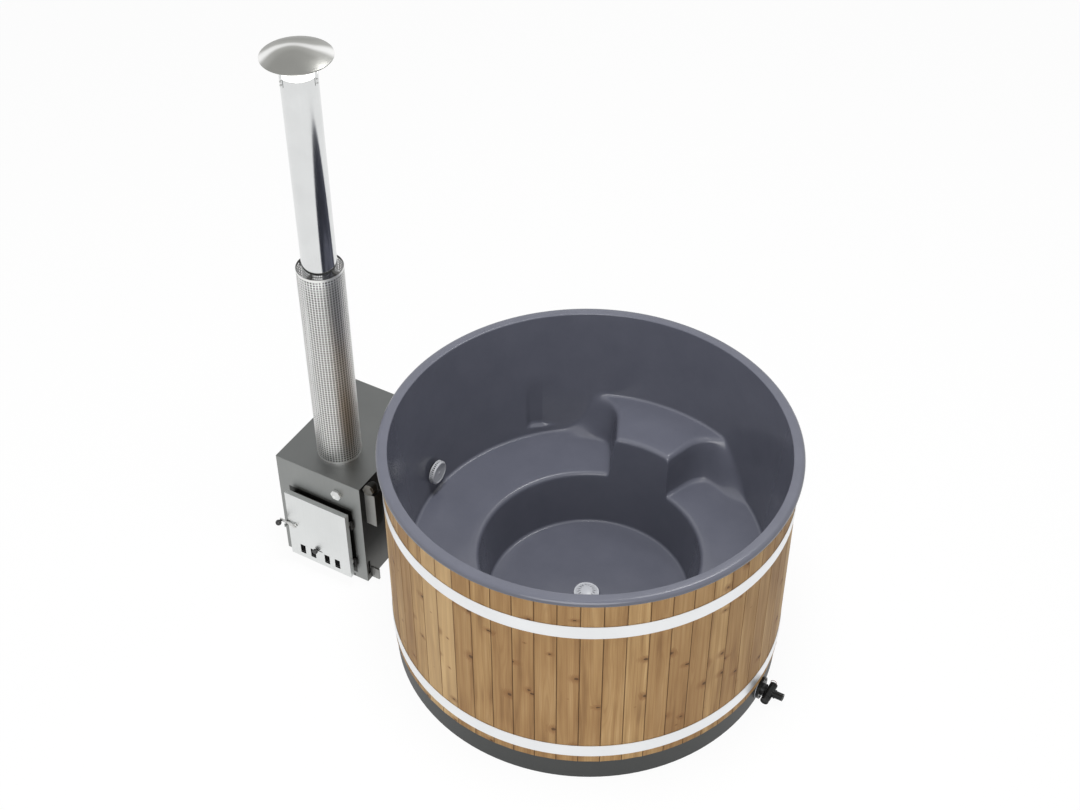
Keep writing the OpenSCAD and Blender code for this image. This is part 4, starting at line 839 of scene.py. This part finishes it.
def section(shelf):
    """Rings of one upright section: (kind, value, height), from the floor's middle to the lip."""
    rings = []
    for share in FLOOR_SHARES:
        dip = -DRAIN_DIP if share < DRAIN_SHARE else 0.0
        rings.append(("floor", share, FLOOR_Z + dip))
    for i in range(ROUND_STEPS + 1):
        a = math.radians(90 * i / ROUND_STEPS)
        rings.append(("cove", COVE_ROUND * math.sin(a), FLOOR_Z + COVE_ROUND * (1 - math.cos(a))))
    low = FLOOR_Z + COVE_ROUND
    high = shelf - EDGE_ROUND
    for share in WELL_SHARES:
        rings.append(("well", 0.0, lerp(low, high, share)))
    for i in range(EDGE_STEPS + 1):
        a = math.radians(90 * i / EDGE_STEPS)
        rings.append(("edge", EDGE_ROUND * (1 - math.cos(a)), high + EDGE_ROUND * math.sin(a)))
    for share in SHELF_SHARES:
        rings.append(("shelf", share, shelf))
    for i in range(ROUND_STEPS + 1):
        a = math.radians(90 * i / ROUND_STEPS)
        rings.append(("wall", COVE_ROUND * (1 - math.sin(a)), shelf + COVE_ROUND * (1 - math.cos(a))))
    foot = shelf + COVE_ROUND
    top = RIM_Z - MOUTH_ROUND
    for share in WALL_SHARES:
        rings.append(("wall", 0.0, lerp(foot, top, share)))
    for r, z in arc((MOUTH_R + MOUTH_ROUND, top), MOUTH_ROUND, 180, 90, 8):
        rings.append(("rim", r, z))
    crown = RIM_R - RIM_ROUND
    rings.append(("rim", lerp(MOUTH_R + MOUTH_ROUND, crown, 0.5), RIM_Z))
    for r, z in arc((crown, RIM_Z - RIM_ROUND), RIM_ROUND, 90, 0, 7):
        rings.append(("rim", r, z))
    rings.append(("rim", RIM_R, LIP_Z + LIP_EDGE))
    rings.append(("rim", RIM_R - LIP_EDGE, LIP_Z))
    return rings


def liner_point(kind, value, z, shelf, direction):
    """Where one point of the liner's mesh goes."""
    start = math.radians(direction(0.0))
    degrees = direction({"shelf": value, "wall": 1.0, "rim": 1.0}.get(kind, 0.0))
    turn = math.radians(degrees)
    shelf_edge = well_radius(shelf - EDGE_ROUND, start)
    if kind == "floor":
        reach = well_radius(FLOOR_Z, turn) * FLOOR_SHARE * value
    elif kind == "cove":
        reach = well_radius(FLOOR_Z + COVE_ROUND, turn) - COVE_ROUND + value
    elif kind == "well":
        reach = well_radius(z, turn)
    elif kind == "edge":
        reach = shelf_edge + value
    elif kind == "shelf":
        reach = lerp(shelf_edge + EDGE_ROUND, basin_radius(shelf + COVE_ROUND) - COVE_ROUND, value)
    elif kind == "wall":
        reach = basin_radius(max(z, shelf + COVE_ROUND)) - value + wall_recess(degrees, z)
    else:
        reach = value
    return Vector((reach * math.cos(turn), reach * math.sin(turn), z))


def build_liner():
    """The moulded inside of the tub: a flat disc of rings whose points are then put in their places."""
    columns = liner_columns()
    rings = section(BENCH_Z)
    bm = bmesh.new()
    spun(bm, [(i + 0.0, 0.0) for i in range(len(rings))], len(columns))
    shapes = [(section(shelf), shelf, direction) for shelf, direction in columns]
    step = math.tau / len(columns)
    for vert in bm.verts:
        ring = round(vert.co.xy.length)
        column = round(math.atan2(vert.co.y, vert.co.x) / step) % len(columns)
        outline, shelf, direction = shapes[column]
        vert.co = liner_point(*outline[ring], shelf, direction)
    bmesh.ops.remove_doubles(bm, verts=bm.verts, dist=WELD_GAP)
    for run in range(SOFT_RUNS):
        narrow = 1.0 - SOFT_NARROWING * run / SOFT_RUNS
        soft = [vert for vert in bm.verts if near_step_end(vert.co, narrow)]
        bmesh.ops.smooth_vert(bm, verts=soft, factor=0.5, use_axis_x=True, use_axis_y=True, use_axis_z=True)
    bmesh.ops.recalc_face_normals(bm, faces=bm.faces)
    piece = finished(bm, "liner_moulded", "liner", smooth=60.0)
    # The floor's face at the axis tells which way the shell points; the order of the faces isn't fixed
    floor = min(piece.data.polygons, key=lambda face: face.center.xy.length)
    if floor.normal.z < 0:
        piece.data.flip_normals()
    wall = piece.modifiers.new("wall", "SOLIDIFY")
    wall.thickness = LINER_WALL
    wall.offset = -1.0
    return piece


# ------------------------------------------------------------------ chimney

TUBE_STEPS = 144


def build_guard():
    """Perforated tube: a flat grid of square holes, rolled up and given its thickness."""
    around, rows = 49, 79
    rim, half_bar, sheet = 0.010, 0.0030, 0.0014
    pitch = (GUARD_TOP - FLUE_LOW - 2 * rim) / rows
    bm = bmesh.new()
    bmesh.ops.create_grid(bm, x_segments=around, y_segments=rows + 2, size=0.5)
    levels = [0.0] + [rim + pitch * i for i in range(rows + 1)] + [GUARD_TOP - FLUE_LOW]
    for vert in bm.verts:
        row = round((vert.co.y + 0.5) * (rows + 2))
        vert.co = Vector(((vert.co.x + 0.5) * math.tau * GUARD_R, levels[row], 0.0))
    cells = [face for face in bm.faces if rim < face.calc_center_median().y < levels[-2]]
    bmesh.ops.inset_individual(bm, faces=cells, thickness=half_bar, depth=0.0)
    bmesh.ops.delete(bm, geom=cells, context="FACES")
    for vert in bm.verts:
        turn = vert.co.x / GUARD_R
        vert.co = Vector((GUARD_R * math.cos(turn), GUARD_R * math.sin(turn), FLUE_LOW + vert.co.y))
    bmesh.ops.remove_doubles(bm, verts=bm.verts, dist=1e-5)
    bmesh.ops.recalc_face_normals(bm, faces=bm.faces)
    bmesh.ops.translate(bm, verts=bm.verts, vec=(FLUE_X, FLUE_Y, 0.0))
    first = next(iter(bm.faces))
    outward = first.calc_center_median().xy - Vector((FLUE_X, FLUE_Y))
    if first.normal.xy.dot(outward) < 0:
        bmesh.ops.reverse_faces(bm, faces=bm.faces)
    bmesh.ops.solidify(bm, geom=bm.faces[:], thickness=sheet)
    return finished(bm, "guard_perforated", "flue_guard", smooth=30.0)


def build_flue():
    """Plain tube with a rounded upper edge."""
    wall, edge = 0.002, 0.001
    outline = [(FLUE_R - wall, FLUE_LOW), (FLUE_R, FLUE_LOW), (FLUE_R, FLUE_TOP - 0.0006)]
    outline += arc((FLUE_R - edge, FLUE_TOP - edge), edge, 0, 180, 6)
    outline += [(FLUE_R - wall, FLUE_LOW)]
    bm = bmesh.new()
    spun(bm, outline, TUBE_STEPS, (FLUE_X, FLUE_Y, 0.0))
    return finished(bm, "flue_polished", "flue_pipe", smooth=50.0)


def build_cap():
    """Spun dome with a thin rolled edge."""
    ball = (CAP_R**2 + CAP_H**2) / (2 * CAP_H)
    span = math.degrees(math.asin(CAP_R / ball))
    middle = (0.0, CAP_Z + CAP_H - ball)
    roll, sheet = 0.0022, 0.0012
    upper = arc(middle, ball, 90, 90 - span * 0.985, 28)
    bead = arc((upper[-1][0] - roll * 0.3, upper[-1][1] - roll), roll, 65, -150, 8)
    lower = arc(middle, ball - sheet, 90 - span * 0.965, 90, 28)
    bm = bmesh.new()
    spun(bm, [(max(r, 0.0), z) for r, z in upper + bead + lower], TUBE_STEPS, (FLUE_X, FLUE_Y, 0.0))
    return finished(bm, "rain_cap_spun", "rain_cap", smooth=50.0)


# ------------------------------------------------------------------ stage

FLOOR_HALF = 40.0
FLOOR_DROP = 0.0006
# Share of the floor that a background ray sees as plain white, so that the rest shows the shadow
FLOOR_WHITE = 0.95
SKY_LIGHT = 0.25
# Where each lamp hangs and points, its size and its watts, and whether metal mirrors it
LAMPS = {
    "key": ((2.5, -6.0, 4.0), (-0.3, 0.0, 0.6), 5.5, 258.0, True),
    "fill": ((-5.5, -3.0, 4.0), (-0.3, 0.0, 0.8), 3.0, 40.0, False),
    "top": ((0.2, -0.5, 7.0), (0.0, 0.0, 0.3), 2.0, 400.0, False),
    "edge": ((0.3, 2.5, 6.5), (0.0, 0.0, 0.5), 1.5, 68.0, True),
}
# The photograph's camera, solved from its circles and straight edges
CAMERA_AT = (2.2895, -4.3745, 5.7161)
CAMERA_RIGHT = (0.86748414, 0.49746155, -0.00180914)
CAMERA_UP = (-0.33172293, 0.58116804, 0.74310403)
FOCAL_PIXELS = 1709.247
PHOTO_PIXELS = 1080.0
SENSOR = 36.0


def build_stage():
    """Pale floor that takes the shadow, and a world that lights softly and shows white."""
    floor_mesh = bpy.data.meshes.new("floor")
    bm = bmesh.new()
    bmesh.ops.create_grid(bm, x_segments=1, y_segments=1, size=FLOOR_HALF)
    bmesh.ops.translate(bm, verts=bm.verts, vec=(0.0, 0.0, -FLOOR_DROP))
    bm.to_mesh(floor_mesh)
    bm.free()
    floor = bpy.data.objects.new("floor", floor_mesh)
    bpy.context.scene.collection.objects.link(floor)
    paper = Finish("floor_paper", Roughness=0.9, Specular_IOR_Level=0.0)
    grain = paper.noise(paper.place, 60.0, 2.0, 0.5)
    paper.set(Base_Color=paper.ramp(grain, (0.3, (0.78, 0.78, 0.78)), (0.7, (0.80, 0.80, 0.80))))
    glow = paper.node("Emission", inputs={"Color": (1.0, 1.0, 1.0), "Strength": 1.0})
    matt = Wire(paper, paper.shader.outputs[0])
    blend = paper.node("MixShader", inputs={0: paper.background_rays() * FLOOR_WHITE, 1: matt, 2: glow})
    paper.feed(paper.tree.nodes["Material Output"].inputs["Surface"], blend)
    floor_mesh.materials.append(paper.material)

    world = bpy.data.worlds.new("studio")
    world.use_nodes = True
    bpy.context.scene.world = world
    sky = Nodes(world.node_tree)
    sky.tree.nodes.remove(sky.tree.nodes["Background"])
    soft = sky.node("Background", inputs={"Color": (1.0, 1.0, 1.0), "Strength": SKY_LIGHT})
    plain = sky.node("Background", inputs={"Color": (1.0, 1.0, 1.0), "Strength": 1.0})
    blend = sky.node("MixShader", inputs={0: sky.background_rays(), 1: soft, 2: plain})
    sky.feed(sky.tree.nodes["World Output"].inputs["Surface"], blend)


def hang_lamp(name, at, aim, size, watts, shines):
    data = bpy.data.lights.new(name, "AREA")
    data.shape = "DISK"
    data.size = size
    data.energy = watts
    light = bpy.data.objects.new(name, data)
    light.location = at
    light.visible_glossy = shines
    light.rotation_euler = (Vector(aim) - Vector(at)).to_track_quat("-Z", "Y").to_euler()
    bpy.context.scene.collection.objects.link(light)


def build_camera():
    right, up = Vector(CAMERA_RIGHT), Vector(CAMERA_UP)
    data = bpy.data.cameras.new("camera")
    data.sensor_width = SENSOR
    data.sensor_fit = "HORIZONTAL"
    data.lens = FOCAL_PIXELS * SENSOR / PHOTO_PIXELS
    data.clip_end = 200.0
    camera = bpy.data.objects.new("camera", data)
    turn = Matrix((right, up, right.cross(up))).transposed().to_4x4()
    camera.matrix_world = Matrix.Translation(CAMERA_AT) @ turn
    bpy.context.scene.collection.objects.link(camera)
    bpy.context.scene.camera = camera


# ------------------------------------------------------------------ assembly

# CAD nodes in another finish than their slot's; the black sheet on the door's slide, inner plate and hinges
# and the darker metal on the side plug are painted shade
OTHER_FINISH = {
    "damper_slide": "dark_sheet",
    "door_inner_plate": "dark_sheet",
    "hinge_brackets": "dark_sheet",
    "hinge_pins": "dark_sheet",
    "valve_screws": "dark_sheet",
    "latch_catch": "casing_sheet",
    "riser_duct": "duct_sheet",
    "side_plug": "plug_shaded",
    "side_lug": "lug_sheet",
}
# CAD nodes shown with rounded edges, and the width of the round
EDGE_WIDTHS = {
    "casing": 0.0016,
    "casing_top": 0.0011,
    "door_panel": 0.0009,
    "latch_lever": 0.0012,
    "latch_bolt": 0.0005,
    "front_plug": 0.0008,
    "side_plug": 0.0016,
    "side_lug": 0.0012,
    "cap_legs": 0.0004,
    "valve_body": 0.0012,
    "valve_end_cap": 0.0016,
    "valve_spigot": 0.0008,
    "valve_knob": 0.0010,
    "damper_knob": 0.0016,
    "heater_feet": 0.0016,
    "base_tray": 0.0016,
    "upper_grille": 0.0008,
    "lower_grille": 0.0008,
    "drain_strainer": 0.0005,
}

build_camera()
for node, piece in NODES.items():
    piece.data.materials.clear()
    piece.data.materials.append(FINISHES[OTHER_FINISH.get(node, SLOT_OF[node])])
build_liner()
build_guard()
build_flue()
build_cap()
for node, width in EDGE_WIDTHS.items():
    rounded(node, width, OTHER_FINISH.get(node))

build_stage()
for name, setting in LAMPS.items():
    hang_lamp(name, *setting)
bpy.context.scene.view_settings.view_transform = "Standard"
